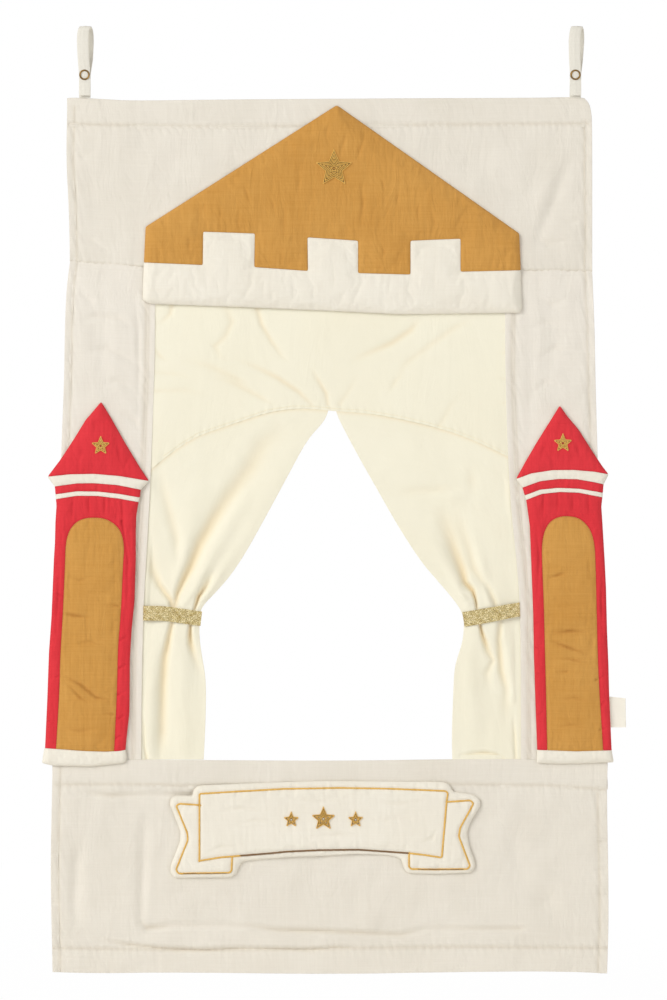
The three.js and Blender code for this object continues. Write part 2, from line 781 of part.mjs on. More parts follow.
// The banner: a centre panel that arches up, with a swallow-tail showing at each end
function addBanner() {
  const group = new THREE.Group();
  group.position.set(banner.offsetX, 0, -banner.drop);
  theatre.add(group);
  const { halfWidth, top, bottom, lineInset, lineWidth } = banner;
  const arching = (x) => banner.arch * (1 - Math.pow(clamp(x / halfWidth, -1, 1), 2));
  const bend = (x, z) => z + arching(x);
  const rowStep = 4 * banner.margin;
  const centreRows = padRows(banner, [bottom, top], rowStep);
  const centreEdges = () => [-halfWidth, halfWidth];
  const centre = padSolid(banner, centreRows, centreEdges, widePadShares, () => 0, bend);
  const tailEdge = (tail, z, inset) => {
    const middle = (tail.top + tail.bottom) / 2;
    const reach = (tail.top - tail.bottom) / 2;
    return tail.reach - inset - tail.notch * (1 - Math.abs(z - middle) / reach);
  };
  const tailPad = (tail) => {
    const middle = (tail.top + tail.bottom) / 2;
    const edges = (z) => {
      const pair = [tail.side * tail.inner, tail.side * tailEdge(tail, z, 0)];
      return pair.sort((a, b) => a - b);
    };
    const rows = padRows(banner, [tail.bottom, middle, tail.top], rowStep);
    return padSolid(banner, rows, edges, [-1, 0, 1]);
  };
  const whole = centre.add(tailPad(bannerTails.left)).add(tailPad(bannerTails.right));
  addPiece('banner_pad', fromSolid(whole), 'white', group).position.y = padBackY;

  // The backing lies behind the centre panel
  const archedRow = (z, reach) => {
    const row = [];
    for (let i = 0; i <= seamSteps; i++) {
      const x = lerp(-reach, reach, i / seamSteps);
      row.push([x, z + arching(x)]);
    }
    return row;
  };
  const insetPanel = (inset) => {
    const reach = halfWidth - inset;
    return [...archedRow(bottom + inset, reach), ...archedRow(top - inset, reach).reverse()];
  };
  const backing = slab(insetPanel(backingInset), canvasFrontY - fitGap, backingThickness);
  addPiece('banner_backing', backing, 'white', group);

  // The thread lines lie on the crown
  const lineBackY = padBackY - banner.crown - fitGap;
  const [outer, inner] = threadLine(insetPanel(lineInset), lineWidth, true);
  addPiece('banner_frame_line', slab(inner, lineBackY, threadHeight, outer), 'thread', group);
  for (const [name, tail] of Object.entries(bannerTails)) {
    const startX = halfWidth - lineInset + lineWidth / 2 + fitGap;
    const middle = (tail.top + tail.bottom) / 2;
    const endZ = bottom + lineInset + arching(tail.inner) - lineWidth;
    const path = [
      [startX, tail.top - lineInset],
      [tailEdge(tail, tail.top, lineInset), tail.top - lineInset],
      [tailEdge(tail, middle, lineInset), middle],
      [tailEdge(tail, tail.bottom, lineInset), tail.bottom + lineInset],
      [tail.inner + lineInset, tail.bottom + lineInset],
      [tail.inner + lineInset, endZ],
    ].map(([x, z]) => [tail.side * x, z]);
    const [one, other] = threadLine(path, lineWidth, false);
    const line = slab([...one, ...other.reverse()], lineBackY, threadHeight);
    addPiece(`banner_${name}_tail_line`, line, 'thread', group);
  }
  const starNames = ['left', 'centre', 'right'];
  starNames.forEach((name, i) => {
    const x = (i - 1) * banner.starSpacing;
    const radius = i === 1 ? banner.centreStarRadius : banner.sideStarRadius;
    const star = starOutline(x, (top + bottom) / 2 + arching(x), radius);
    addPiece(`banner_${name}_star`, slab(star, lineBackY, threadHeight), 'thread', group);
  });
}

// A hanging loop. Its strap rises from the top edge, goes over the crown and comes down in front
// as a flap that the snap holds shut. Both legs leave an ellipse at the crown and close towards the snap.
function addLoop(prefix, side) {
  const centreX = side * strap.spacing;
  const half = strap.thickness / 2;
  const flat = radians(strap.crownFlatDegrees);
  const crownCentreZ = half - strap.crownHeight * Math.cos(flat);
  const stackDepth = 3 * fitGap + snap.socketThickness + snap.studThickness;
  const flapY = -strap.thickness - stackDepth;
  const closeZ = -strap.closeShare * loopLength;
  const crownSteps = 8;
  const legSteps = 6;
  const crown = (direction) => {
    const points = [];
    for (let i = 0; i <= crownSteps; i++) {
      const angle = lerp(flat, quarterTurn, i / crownSteps);
      const y = direction * strap.halfDepth * Math.sin(angle);
      points.push([y, crownCentreZ + strap.crownHeight * Math.cos(angle)]);
    }
    return points;
  };
  const leg = (startY, endY, endZ) => {
    const points = [];
    for (let i = 1; i <= legSteps; i++) {
      const share = i / legSteps;
      const eased = (1 - Math.cos(Math.PI * share)) / 2;
      points.push([lerp(startY, endY, eased), lerp(crownCentreZ, closeZ, share)]);
    }
    points.push([endY, endZ]);
    return points;
  };
  const backPath = [
    ...leg(strap.halfDepth, 0, topEdgeZ + fitGap).reverse(),
    ...crown(1).reverse(),
    ...crown(-1),
  ];
  const flapStart = [-strap.halfDepth, crownCentreZ - fitGap];
  const flapPath = [flapStart, ...leg(-strap.halfDepth, flapY, topEdgeZ + strap.flapEndClearance)];
  const strip = (path) => {
    const [one, other] = threadLine(path, strap.thickness, false);
    return runAlongX([...one, ...other.reverse()], strap.width, centreX);
  };
  addPiece(`${prefix}_loop_strap`, strip(backPath), 'canvas');
  addPiece(`${prefix}_loop_flap`, strip(flapPath), 'canvas');

  // The snap's rings, turned about an axis that runs front to back
  const turned = (profile) => {
    const points = profile.map(([radius, height]) => new THREE.Vector2(radius, height));
    return new THREE.LatheGeometry([...points, points[0]], snap.sides);
  };
  const ring = (innerRadius, outerRadius, thickness) => turned([
    [innerRadius, 0],
    [outerRadius, 0],
    [outerRadius, thickness],
    [innerRadius, thickness],
  ]);
  const addSnapPiece = (name, geometry, y) => {
    addPiece(`${prefix}_${name}`, geometry, 'brass').position.set(centreX, y, -snap.drop);
  };
  const capFrontY = flapY - half - fitGap - snap.capThickness;
  const cap = ring(snap.capBore, snap.capRadius, snap.capThickness);
  const socket = ring(snap.socketBore, snap.socketRadius, snap.socketThickness);
  const plate = ring(snap.capBore, snap.capRadius, snap.plateThickness);
  addSnapPiece('snap_cap', cap, capFrontY);
  addSnapPiece('snap_socket', socket, flapY + half + fitGap);
  addSnapPiece('snap_plate', plate, half + fitGap);
  const postLength = fitGap + snap.socketThickness;
  const stud = new THREE.LatheGeometry([
    [0, 0],
    [snap.postRadius, 0],
    [snap.postRadius, postLength],
    [snap.studRadius, postLength],
    [snap.studRadius, postLength + snap.studThickness],
    [0, postLength + snap.studThickness],
  ].map(([radius, height]) => new THREE.Vector2(radius, height)), snap.sides);
  addSnapPiece('snap_stud', stud, -half - fitGap - snap.studThickness - postLength);
}

addCanvas();
addValance();
addCurtain('left_curtain', curtainSides.left);
addCurtain('right_curtain', curtainSides.right);
addRibbon('left_tieback_front', curtainSides.left, -1);
addRibbon('left_tieback_back', curtainSides.left, 1);
addRibbon('right_tieback_front', curtainSides.right, -1);
addRibbon('right_tieback_back', curtainSides.right, 1);
addRoof();
addTower('left_tower', towerSides.left);
addTower('right_tower', towerSides.right);
addBanner();
addLoop('left', -1);
addLoop('right', 1);

export default theatre;
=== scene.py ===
import math

import bpy
import numpy as np
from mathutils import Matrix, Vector
from mathutils.bvhtree import BVHTree
from mathutils.geometry import delaunay_2d_cdt


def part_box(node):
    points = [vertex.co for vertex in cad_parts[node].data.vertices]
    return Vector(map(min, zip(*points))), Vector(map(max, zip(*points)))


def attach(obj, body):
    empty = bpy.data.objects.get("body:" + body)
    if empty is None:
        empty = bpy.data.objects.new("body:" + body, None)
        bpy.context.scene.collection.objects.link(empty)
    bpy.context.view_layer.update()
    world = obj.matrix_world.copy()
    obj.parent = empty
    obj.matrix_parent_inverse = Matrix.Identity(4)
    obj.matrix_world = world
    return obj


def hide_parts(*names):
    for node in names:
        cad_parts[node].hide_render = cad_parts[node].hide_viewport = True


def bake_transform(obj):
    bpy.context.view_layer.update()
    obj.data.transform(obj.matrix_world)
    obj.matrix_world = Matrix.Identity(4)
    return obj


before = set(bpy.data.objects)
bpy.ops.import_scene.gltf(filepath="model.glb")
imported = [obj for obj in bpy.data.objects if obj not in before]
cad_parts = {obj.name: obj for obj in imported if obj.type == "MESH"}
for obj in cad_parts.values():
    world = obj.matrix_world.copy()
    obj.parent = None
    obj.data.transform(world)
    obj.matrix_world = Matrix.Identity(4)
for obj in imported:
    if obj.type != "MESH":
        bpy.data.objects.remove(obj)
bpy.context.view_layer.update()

# where the photo's pixels lie in the part's frame: across is X, up is Z, and the front faces -Y
photo = {"mmPerPixel": 1.37, "zeroX": 330.0, "zeroY": 27.0}
mm = 0.001


def fromPhoto(points):
    x, y = np.array(points, dtype=float).T
    scale = photo["mmPerPixel"] * mm
    return np.column_stack(((x - photo["zeroX"]) * scale, (photo["zeroY"] - y) * scale))


def reaches(points):
    # how far along a line each of its points lies
    steps = np.linalg.norm(np.diff(points, axis=0), axis=1)
    return np.concatenate(([0.0], np.cumsum(steps)))


def alongPath(points, shares):
    # points at these shares of a line's length
    reach = reaches(points)
    wanted = np.asarray(shares) * reach[-1]
    return np.column_stack([np.interp(wanted, reach, points[:, axis]) for axis in range(points.shape[1])])


def softened(points, rounds=2):
    # cuts a line's corners, and keeps its ends
    points = np.asarray(points, dtype=float)
    for _ in range(rounds):
        early = points[:-1] * 0.75 + points[1:] * 0.25
        late = points[:-1] * 0.25 + points[1:] * 0.75
        inner = np.stack((early, late), axis=1).reshape(-1, points.shape[1])
        points = np.vstack((points[:1], inner[1:-1], points[-1:]))
    return points


def length(points):
    return float(np.linalg.norm(np.diff(points, axis=0), axis=1).sum())


def waves(seed, size, count=9):
    # smooth unevenness from about -1 to 1, the same on each run; size is in metres
    chance = np.random.default_rng(seed)
    turns = chance.uniform(0, math.tau, count)
    sizes = size * chance.uniform(0.7, 1.5, count)
    starts = chance.uniform(0, math.tau, count)

    def height(x, z):
        total = np.zeros_like(x)
        for turn, span, start in zip(turns, sizes, starts):
            total = total + np.sin((x * math.cos(turn) + z * math.sin(turn)) * math.tau / span + start)
        return total / math.sqrt(count * 2)

    return height


def nearLine(x, z, start, end):
    # how far along a straight line each point lies, 0 to 1, and how far away from it
    run = end - start
    share = np.clip(((x - start[0]) * run[0] + (z - start[1]) * run[1]) / max(run @ run, 1e-12), 0, 1)
    return share, np.hypot(x - start[0] - share * run[0], z - start[1] - share * run[1])


def farFrom(x, z, path):
    # distance to a line of (x, z) points
    nearest = np.full(x.shape, np.inf)
    for start, end in zip(path[:-1], path[1:]):
        nearest = np.minimum(nearest, nearLine(x, z, start, end)[1])
    return nearest


def near(distance, reach, power=2):
    # 1 on a line, falling softly to 0 beyond its reach
    return np.exp(-((distance / reach) ** power))


def creases(x, z, lines):
    # depth of folds along traced lines; each point of a line is (px, py, depth mm, width mm)
    total = np.zeros_like(x)
    for line in lines:
        rows = np.array(line, dtype=float)
        spots = fromPhoto(rows[:, :2])
        nearest = np.full(x.shape, np.inf)
        depth = np.zeros_like(x)
        width = np.ones_like(x)
        for k in range(len(rows) - 1):
            share, gap = nearLine(x, z, spots[k], spots[k + 1])
            closer = gap < nearest
            nearest = np.where(closer, gap, nearest)
            depth = np.where(closer, rows[k, 2] + share * (rows[k + 1, 2] - rows[k, 2]), depth)
            width = np.where(closer, rows[k, 3] + share * (rows[k + 1, 3] - rows[k, 3]), width)
        total = total + depth * mm * near(nearest, width * mm)
    return total


def dent(depth, width, *spots):
    # a small fold through x, y, x, y and so on, deepest between its ends, where it fades out
    points = list(zip(spots[::2], spots[1::2]))
    last = len(points) - 1
    return [(x, y, depth if 0 < k < last else 0, width) for k, (x, y) in enumerate(points)]


def smoothStep(value):
    value = np.clip(value, 0, 1)
    return value * value * (3 - 2 * value)


def linked(name, data):
    # a new object in the scene
    piece = bpy.data.objects.new(name, data)
    bpy.context.scene.collection.objects.link(piece)
    return piece


def newPiece(name, points, faces, material, cloth=None, fold=None):
    # cloth: each point's place on the flat fabric, in metres; fold: how much painted shade its colour takes,
    # 0 to 1
    mesh = bpy.data.meshes.new(name)
    mesh.from_pydata([tuple(map(float, point)) for point in points], [],
                     [tuple(map(int, face)) for face in faces])
    corners = np.empty(len(mesh.loops), dtype=np.int32)
    mesh.loops.foreach_get("vertex_index", corners)
    flat = np.asarray(points)[:, [0, 2]] if cloth is None else np.asarray(cloth)
    layer = mesh.uv_layers.new(name="cloth")
    layer.data.foreach_set("uv", flat[corners].astype(np.float32).ravel())
    if fold is not None:
        addFoldShade(mesh, fold)
    mesh.materials.append(material)
    mesh.shade_smooth()
    return linked(name, mesh)


def addFoldShade(mesh, fold):
    # stores each point's share of painted shade as the fold attribute
    shade = mesh.attributes.new("fold", "FLOAT", "POINT")
    shade.data.foreach_set("value", np.asarray(fold, dtype=np.float32))


def bake(piece, sharp=50):
    # the piece's modifiers become its mesh; corners over this angle stay sharp
    bpy.context.view_layer.update()
    graph = bpy.context.evaluated_depsgraph_get()
    mesh = bpy.data.meshes.new_from_object(piece.evaluated_get(graph), preserve_all_data_layers=True,
                                           depsgraph=graph)
    piece.modifiers.clear()
    piece.data = mesh
    mesh.shade_smooth()
    mesh.set_sharp_from_angle(angle=math.radians(sharp))
    return piece


def smoothOnce(piece, sharp):
    finer = piece.modifiers.new("smooth", "SUBSURF")
    finer.levels = 1
    finer.render_levels = 1
    return bake(piece, sharp)


def patch(top, bottom, left, right, spacing):
    # a grid of (x, y, z) points between four edges, its rows going down
    across = max(2, round(max(length(top), length(bottom)) / spacing) + 1)
    down = max(2, round(max(length(left), length(right)) / spacing) + 1)
    s = np.linspace(0, 1, across)
    t = np.linspace(0, 1, down)
    upper = alongPath(top, s)[None]
    lower = alongPath(bottom, s)[None]
    first = alongPath(left, t)[:, None]
    last = alongPath(right, t)[:, None]
    s = s[None, :, None]
    t = t[:, None, None]
    above = (1 - s) * upper[:, :1] + s * upper[:, -1:]
    below = (1 - s) * lower[:, :1] + s * lower[:, -1:]
    corners = (1 - t) * above + t * below
    flat = (1 - t) * upper + t * lower + (1 - s) * first + s * last - corners
    return np.dstack((flat[..., 0], np.zeros(flat.shape[:2]), flat[..., 1]))


def tracedPatch(edges, spacing):
    # a grid between four lines traced on the photo
    lines = [softened(fromPhoto(edges[side])) for side in ("top", "bottom", "left", "right")]
    grid = patch(*lines, spacing)
    return grid, grid[..., 0], grid[..., 2]


# a sheet's sides: the axis in its grid, whether the side comes first there, and inward in X and Z
sheetSides = {"top": (0, True, (0, -1)), "bottom": (0, False, (0, 1)),
              "left": (1, True, (1, 0)), "right": (1, False, (-1, 0))}


def addFold(grid, side, fold):
    # carries an edge on: each step of the fold is (mm inward, mm to the back)
    axis, first, inward = sheetSides[side]
    edge = np.take(grid, 0 if first else -1, axis=axis)
    steps = [edge + np.array((step * inward[0], back, step * inward[1])) * mm for step, back in fold]
    extra = np.stack(steps[::-1] if first else steps, axis=axis)
    return np.concatenate((extra, grid) if first else (grid, extra), axis=axis)


def foldedPiece(name, grid, paintedShade, folds, material, thickness):
    # turns the sheet's edges over, and carries on how much painted shade each point takes
    for side, fold in folds:
        axis, first = sheetSides[side][:2]
        spare = [(0, 0), (0, 0)]
        spare[axis] = (len(fold), 0) if first else (0, len(fold))
        grid = addFold(grid, side, fold)
        paintedShade = np.pad(paintedShade, spare, mode="edge")
    return gridPiece(name, grid, material, thickness, paintedShade.ravel())


def gridPiece(name, grid, material, thickness, fold=None):
    # a sheet whose front faces -Y
    rows, columns = grid.shape[:2]
    index = np.arange(rows * columns).reshape(rows, columns)
    faces = np.stack((index[:-1, :-1], index[1:, :-1], index[1:, 1:], index[:-1, 1:]), axis=-1).reshape(-1, 4)
    u = reaches(grid[rows // 2])
    v = reaches(grid[:, columns // 2])
    cloth = np.dstack(np.meshgrid(u, -v)).reshape(-1, 2)
    piece = newPiece(name, grid.reshape(-1, 3), faces, material, cloth, fold)
    shell = piece.modifiers.new("thickness", "SOLIDIFY")
    shell.thickness = thickness
    shell.offset = 0
    return bake(piece)


def paint(*screen):
    # a screen colour, 0 to 255, as Blender's linear colour
    shares = [value / 255 for value in screen]
    linear = [share / 12.92 if share <= 0.04045 else ((share + 0.055) / 1.055) ** 2.4 for share in shares]
    return (*linear, 1.0)


print("frame and helpers ready")


def feed(tree, node, values):
    # each value is a constant or another node's output
    for label, value in values.items():
        if isinstance(value, bpy.types.NodeSocket):
            tree.links.new(value, node.inputs[label])
        else:
            node.inputs[label].default_value = value
    return node


def addNode(tree, kind, values=None, **settings):
    node = tree.nodes.new(kind)
    for setting, value in settings.items():
        setattr(node, setting, value)
    return feed(tree, node, values or {})


def mathNode(tree, operation, *values, clamp=False):
    node = addNode(tree, "ShaderNodeMath", dict(enumerate(values)), operation=operation, use_clamp=clamp)
    return node.outputs[0]


def noiseNode(tree, vector, scale, detail=2.0, roughness=0.5):
    values = {"Vector": vector, "Scale": scale, "Detail": detail, "Roughness": roughness}
    return addNode(tree, "ShaderNodeTexNoise", values).outputs["Fac"]


def stretched(tree, vector, x, y, z=1.0):
    return addNode(tree, "ShaderNodeMapping", {"Vector": vector, "Scale": (x, y, z)}).outputs[0]


def bumpNode(tree, height, distance, strength, **under):
    values = {"Height": height, "Distance": distance, "Strength": strength}
    return addNode(tree, "ShaderNodeBump", dict(values, **under)).outputs["Normal"]


def mixColour(tree, factor, first, second):
    return addNode(tree, "ShaderNodeMix", {0: factor, 6: first, 7: second}, data_type="RGBA").outputs[2]


# shader groups that several finishes share
def newGroup(name, values, results):
    # takes a vector and these values, and gives these numbers
    group = bpy.data.node_groups.new(name, "ShaderNodeTree")
    group.interface.new_socket("Vector", in_out="INPUT", socket_type="NodeSocketVector")
    for label, value in values.items():
        group.interface.new_socket(label, in_out="INPUT", socket_type="NodeSocketFloat").default_value = value
    for label in results:
        group.interface.new_socket(label, in_out="OUTPUT", socket_type="NodeSocketFloat")
    return group, group.nodes.new("NodeGroupInput").outputs, group.nodes.new("NodeGroupOutput")


def makePlainWeave():
    # over-and-under threads with slubs, and a mask for the painted shade in the gaps between them
    values = {"Threads per metre": 1400.0, "Slub": 0.5}
    group, given, result = newGroup("plainWeave", values, ["Height", "Gaps"])
    parts = addNode(group, "ShaderNodeSeparateXYZ", {0: given["Vector"]}).outputs
    waver = mathNode(group, "MULTIPLY", noiseNode(group, given["Vector"], 300.0), given["Slub"])
    ridges = []
    widths = []
    for axis, scales in zip("XY", ((900.0, 30.0), (30.0, 900.0))):
        count = mathNode(group, "MULTIPLY", parts[axis], given["Threads per metre"])
        phase = mathNode(group, "MULTIPLY", mathNode(group, "ADD", count, waver), math.pi)
        ridges.append(mathNode(group, "SINE", phase))
        slub = noiseNode(group, stretched(group, given["Vector"], *scales), 1.0)
        widths.append(mathNode(group, "MULTIPLY_ADD", slub, given["Slub"], 0.6))
    cell = mathNode(group, "ABSOLUTE", mathNode(group, "MULTIPLY", *ridges))
    height = mathNode(group, "MULTIPLY", cell, mathNode(group, "ADD", *widths))
    gaps = mathNode(group, "SUBTRACT", 1.0, mathNode(group, "POWER", cell, 0.5), clamp=True)
    feed(group, result, {"Height": height, "Gaps": gaps})
    return group


def makeClothTone():
    # soft cloudiness, and fine streaks where one thread is paler than the next
    group, given, result = newGroup("clothTone", {"Cloud scale": 14.0, "Streaks": 0.3}, ["Tone"])
    cloud = noiseNode(group, given["Vector"], given["Cloud scale"], 3.0)
    warp = noiseNode(group, stretched(group, given["Vector"], 480.0, 14.0), 1.0, 3.0, 0.7)
    weft = noiseNode(group, stretched(group, given["Vector"], 14.0, 480.0), 1.0, 3.0, 0.7)
    streak = mathNode(group, "SUBTRACT", mathNode(group, "ADD", warp, weft), 1.0)
    tone = mathNode(group, "MULTIPLY_ADD", streak, given["Streaks"], cloud, clamp=True)
    feed(group, result, {"Tone": tone})
    return group


def makePucker():
    # small soft wrinkles, longer one way than the other
    group, given, result = newGroup("pucker", {"Wrinkles per metre": 60.0, "Softness": 1.0}, ["Height"])
    broad = addNode(group, "ShaderNodeTexNoise", {
        "Vector": stretched(group, given["Vector"], 1.0, 0.35), "Scale": given["Wrinkles per metre"],
        "Detail": 4.0, "Roughness": 0.55, "Distortion": 0.6}).outputs["Fac"]
    ridge = mathNode(group, "ABSOLUTE", mathNode(group, "MULTIPLY_ADD", broad, 2.0, -1.0))
    height = mathNode(group, "POWER", mathNode(group, "SUBTRACT", 1.0, ridge, clamp=True), given["Softness"])
    feed(group, result, {"Height": height})
    return group


groups = {"weave": makePlainWeave(), "tone": makeClothTone(), "pucker": makePucker()}


def groupNode(tree, group, values):
    node = addNode(tree, "ShaderNodeGroup", node_tree=groups[group])
    return feed(tree, node, values).outputs


def newMaterial(name):
    material = bpy.data.materials.new(name)
    material.use_nodes = True
    tree = material.node_tree
    return material, tree, tree.nodes["Principled BSDF"]


def fabric(name, look):
    material, tree, surface = newMaterial(name)
    vector = addNode(tree, "ShaderNodeUVMap", uv_map="cloth").outputs["UV"]
    weave, tone, pucker = (groupNode(tree, group, dict(values, Vector=vector)) for group, values in (
        ("weave", {"Threads per metre": look["threads"], "Slub": look["slub"]}),
        ("tone", {"Cloud scale": look["cloud"], "Streaks": look["streaks"]}),
        ("pucker", {"Wrinkles per metre": look["wrinkles"], "Softness": look["softness"]})))
    # the fold attribute darkens the colour toward the look's fold colour: painted shade in creases, beside
    # seams and under the arch
    fold = addNode(tree, "ShaderNodeAttribute", attribute_name="fold").outputs["Fac"]
    base = mixColour(tree, tone["Tone"], look["shade"], look["colour"])
    base = mixColour(tree, mathNode(tree, "MULTIPLY", fold, 0.7), base, look["paintedShadeColour"])
    # the gaps between threads take the darker gap colour: painted shade
    gaps = mathNode(tree, "MULTIPLY", weave["Gaps"], look["gapDepth"])
    wrinkled = bumpNode(tree, pucker["Height"], look["wrinkleDepth"], 0.6)
    feed(tree, surface, {
        "Base Color": mixColour(tree, gaps, base, look["gap"]),
        "Roughness": mathNode(tree, "MULTIPLY_ADD", tone["Tone"], -0.12, 0.95),
        "Normal": bumpNode(tree, weave["Height"], look["threadDepth"], 0.5, Normal=wrinkled),
        "Sheen Weight": look["sheen"], "Sheen Roughness": 0.5, "Specular IOR Level": 0.15})
    return material


# each look's fold colour is the painted shade that creases and seams take
canvasLook = {"colour": paint(243, 237, 225), "shade": paint(232, 225, 211), "gap": paint(196, 184, 162),
              "paintedShadeColour": paint(206, 192, 168), "gapDepth": 0.26, "threads": 1350.0, "slub": 0.7,
              "cloud": 9.0, "streaks": 0.75, "wrinkles": 24.0, "softness": 1.2, "wrinkleDepth": 0.0022,
              "threadDepth": 0.00014, "sheen": 0.08}
stripLook = dict(canvasLook, colour=paint(246, 240, 229), shade=paint(236, 229, 216))
tapeLook = dict(canvasLook, colour=paint(243, 239, 228), shade=paint(232, 228, 215), wrinkleDepth=0.0006)
creamLook = {"colour": paint(245, 241, 222), "shade": paint(241, 235, 212), "gap": paint(230, 212, 170),
             "paintedShadeColour": paint(226, 190, 122), "gapDepth": 0.14, "threads": 2200.0, "slub": 0.2, "cloud": 7.0,
             "streaks": 0.3, "wrinkles": 18.0, "softness": 1.0, "wrinkleDepth": 0.0016,
             "threadDepth": 0.00006, "sheen": 0.12}
whiteLook = {"colour": paint(245, 240, 227), "shade": paint(236, 229, 213), "gap": paint(210, 198, 174),
             "paintedShadeColour": paint(208, 196, 172), "gapDepth": 0.17, "threads": 1700.0, "slub": 0.3,
             "cloud": 12.0, "streaks": 0.6, "wrinkles": 45.0, "softness": 1.1, "wrinkleDepth": 0.0008,
             "threadDepth": 0.0001, "sheen": 0.1}
labelLook = dict(whiteLook, colour=paint(253, 249, 236), shade=paint(248, 242, 226), threads=3200.0,
                 wrinkleDepth=0.0002, sheen=0.02)
mustardLook = dict(whiteLook, colour=paint(220, 166, 88), shade=paint(203, 146, 69), gap=paint(160, 104, 40),
                   paintedShadeColour=paint(146, 92, 34), gapDepth=0.3, slub=0.7, streaks=1.0, wrinkles=50.0,
                   softness=1.0, wrinkleDepth=0.0028, threadDepth=0.00012)
redLook = dict(whiteLook, colour=paint(232, 62, 70), shade=paint(218, 51, 59), gap=paint(170, 26, 36),
               paintedShadeColour=paint(140, 14, 28), gapDepth=0.24, slub=0.4, cloud=14.0, streaks=0.8, wrinkles=50.0,
               softness=1.0, wrinkleDepth=0.0024, sheen=0.12)

canvas = fabric("canvasCotton", canvasLook)
stripCanvas = fabric("stripCanvas", stripLook)
tape = fabric("loopTape", tapeLook)
cream = fabric("creamCotton", creamLook)
white = fabric("whiteCotton", whiteLook)
mustard = fabric("mustardCotton", mustardLook)
red = fabric("redCotton", redLook)
labelWhite = fabric("labelTape", labelLook)


def objectPlace(tree):
    return tree.nodes.new("ShaderNodeTexCoord").outputs["Object"]


def threadMaterial(name, colour, shade, twists):
    # spun thread: fine twisted fibres and a soft shine
    material, tree, surface = newMaterial(name)
    vector = objectPlace(tree)
    fibre = addNode(tree, "ShaderNodeTexWave", {"Vector": vector, "Scale": twists, "Distortion": 1.5},
                    bands_direction="DIAGONAL").outputs["Fac"]
    tone = mathNode(tree, "MULTIPLY", fibre, noiseNode(tree, vector, 240.0))
    feed(tree, surface, {
        "Base Color": mixColour(tree, mathNode(tree, "MULTIPLY", tone, 1.6, clamp=True), shade, colour),
        "Roughness": mathNode(tree, "MULTIPLY_ADD", tone, -0.2, 0.62),
        "Normal": bumpNode(tree, fibre, 0.00015, 0.5), "Sheen Weight": 0.3})
    return material


goldThread = threadMaterial("goldThread", paint(248, 208, 108), paint(210, 158, 60), 900.0)
brownThread = threadMaterial("brownThread", paint(150, 110, 56), paint(98, 66, 28), 900.0)
canvasThread = threadMaterial("canvasThread", paint(242, 236, 222), paint(230, 221, 204), 1200.0)
creamThread = threadMaterial("creamThread", paint(248, 240, 214), paint(240, 226, 188), 1200.0)


def makeGlitter(look):
    # crushed gold foil: each flake has its own tint and tilt; its colour runs from dark to near white, partly
    # the foil's own tint, partly painted glint
    material, tree, surface = newMaterial("goldGlitter")
    vector = addNode(tree, "ShaderNodeUVMap", uv_map="cloth").outputs["UV"]
    flakes = addNode(tree, "ShaderNodeTexVoronoi", {"Vector": vector, "Scale": look["flakesPerMetre"]})
    tint, tilt, metal = addNode(tree, "ShaderNodeSeparateColor", {0: flakes.outputs["Color"]}).outputs
    patches = noiseNode(tree, vector, look["patchScale"], 3.0)
    # brighter flakes and patches: partly paler foil, partly painted glint
    shine = mathNode(tree, "MULTIPLY", tint, mathNode(tree, "ADD", patches, 0.45))
    ramp = addNode(tree, "ShaderNodeValToRGB", {0: shine})
    steps = ramp.color_ramp.elements
    steps[0].color = look["dark"]
    steps[1].color = look["light"]
    steps.new(0.45).color = look["middle"]
    feed(tree, surface, {
        "Base Color": ramp.outputs["Color"], "Roughness": mathNode(tree, "MULTIPLY_ADD", tilt, 0.3, 0.3),
        "Metallic": mathNode(tree, "MULTIPLY", metal, 0.75), "Normal": bumpNode(tree, tilt, 0.0005, 0.8)})
    return material


glitter = makeGlitter({"flakesPerMetre": 1500.0, "patchScale": 170.0, "dark": paint(122, 96, 44),
                       "middle": paint(196, 172, 104), "light": paint(255, 246, 206)})


def makeBrass(look):
    # aged brass: dark in the hollows, bright where fingers rub it
    material, tree, surface = newMaterial("agedBrass")
    vector = objectPlace(tree)
    patina = noiseNode(tree, vector, look["patinaScale"], 5.0, 0.65)
    fine = noiseNode(tree, vector, look["patinaScale"] * 7, 2.0)
    edges = tree.nodes.new("ShaderNodeNewGeometry").outputs["Pointiness"]
    worn = mathNode(tree, "MULTIPLY_ADD", edges, 5.0, -2.35, clamp=True)
    mask = mathNode(tree, "MULTIPLY_ADD", patina, 0.5, worn, clamp=True)
    feed(tree, surface, {
        "Base Color": mixColour(tree, mask, look["dark"], look["bright"]),
        "Roughness": mathNode(tree, "MULTIPLY_ADD", fine, 0.35, 0.2),
        "Normal": bumpNode(tree, fine, 0.0001, 0.3), "Metallic": 1.0})
    return material


brass = makeBrass({"patinaScale": 260.0, "dark": paint(66, 48, 24), "bright": paint(196, 154, 88)})


def makeBeech(look):
    # turned dowel: long grain along X, and the short flecks that beech has
    material, tree, surface = newMaterial("beechDowel")
    vector = objectPlace(tree)
    grain = noiseNode(tree, stretched(tree, vector, 6.0, 420.0, 420.0), 1.0, 5.0, 0.6)
    spots = stretched(tree, vector, 220.0, 1500.0, 1500.0)
    flecks = addNode(tree, "ShaderNodeTexVoronoi", {"Vector": spots, "Scale": 1.0}).outputs["Distance"]
    mask = mathNode(tree, "MULTIPLY", mathNode(tree, "LESS_THAN", flecks, look["fleckSize"]), 0.45)
    base = mixColour(tree, grain, look["pale"], look["dark"])
    feed(tree, surface, {
        "Base Color": mixColour(tree, mask, base, look["fleck"]),
        "Roughness": mathNode(tree, "MULTIPLY_ADD", grain, 0.2, 0.45),
        "Normal": bumpNode(tree, grain, 0.0002, 0.4)})
    return material


beech = makeBeech({"pale": paint(214, 178, 128), "dark": paint(186, 144, 96), "fleck": paint(140, 98, 58),
                   "fleckSize": 0.22})
print("materials ready")


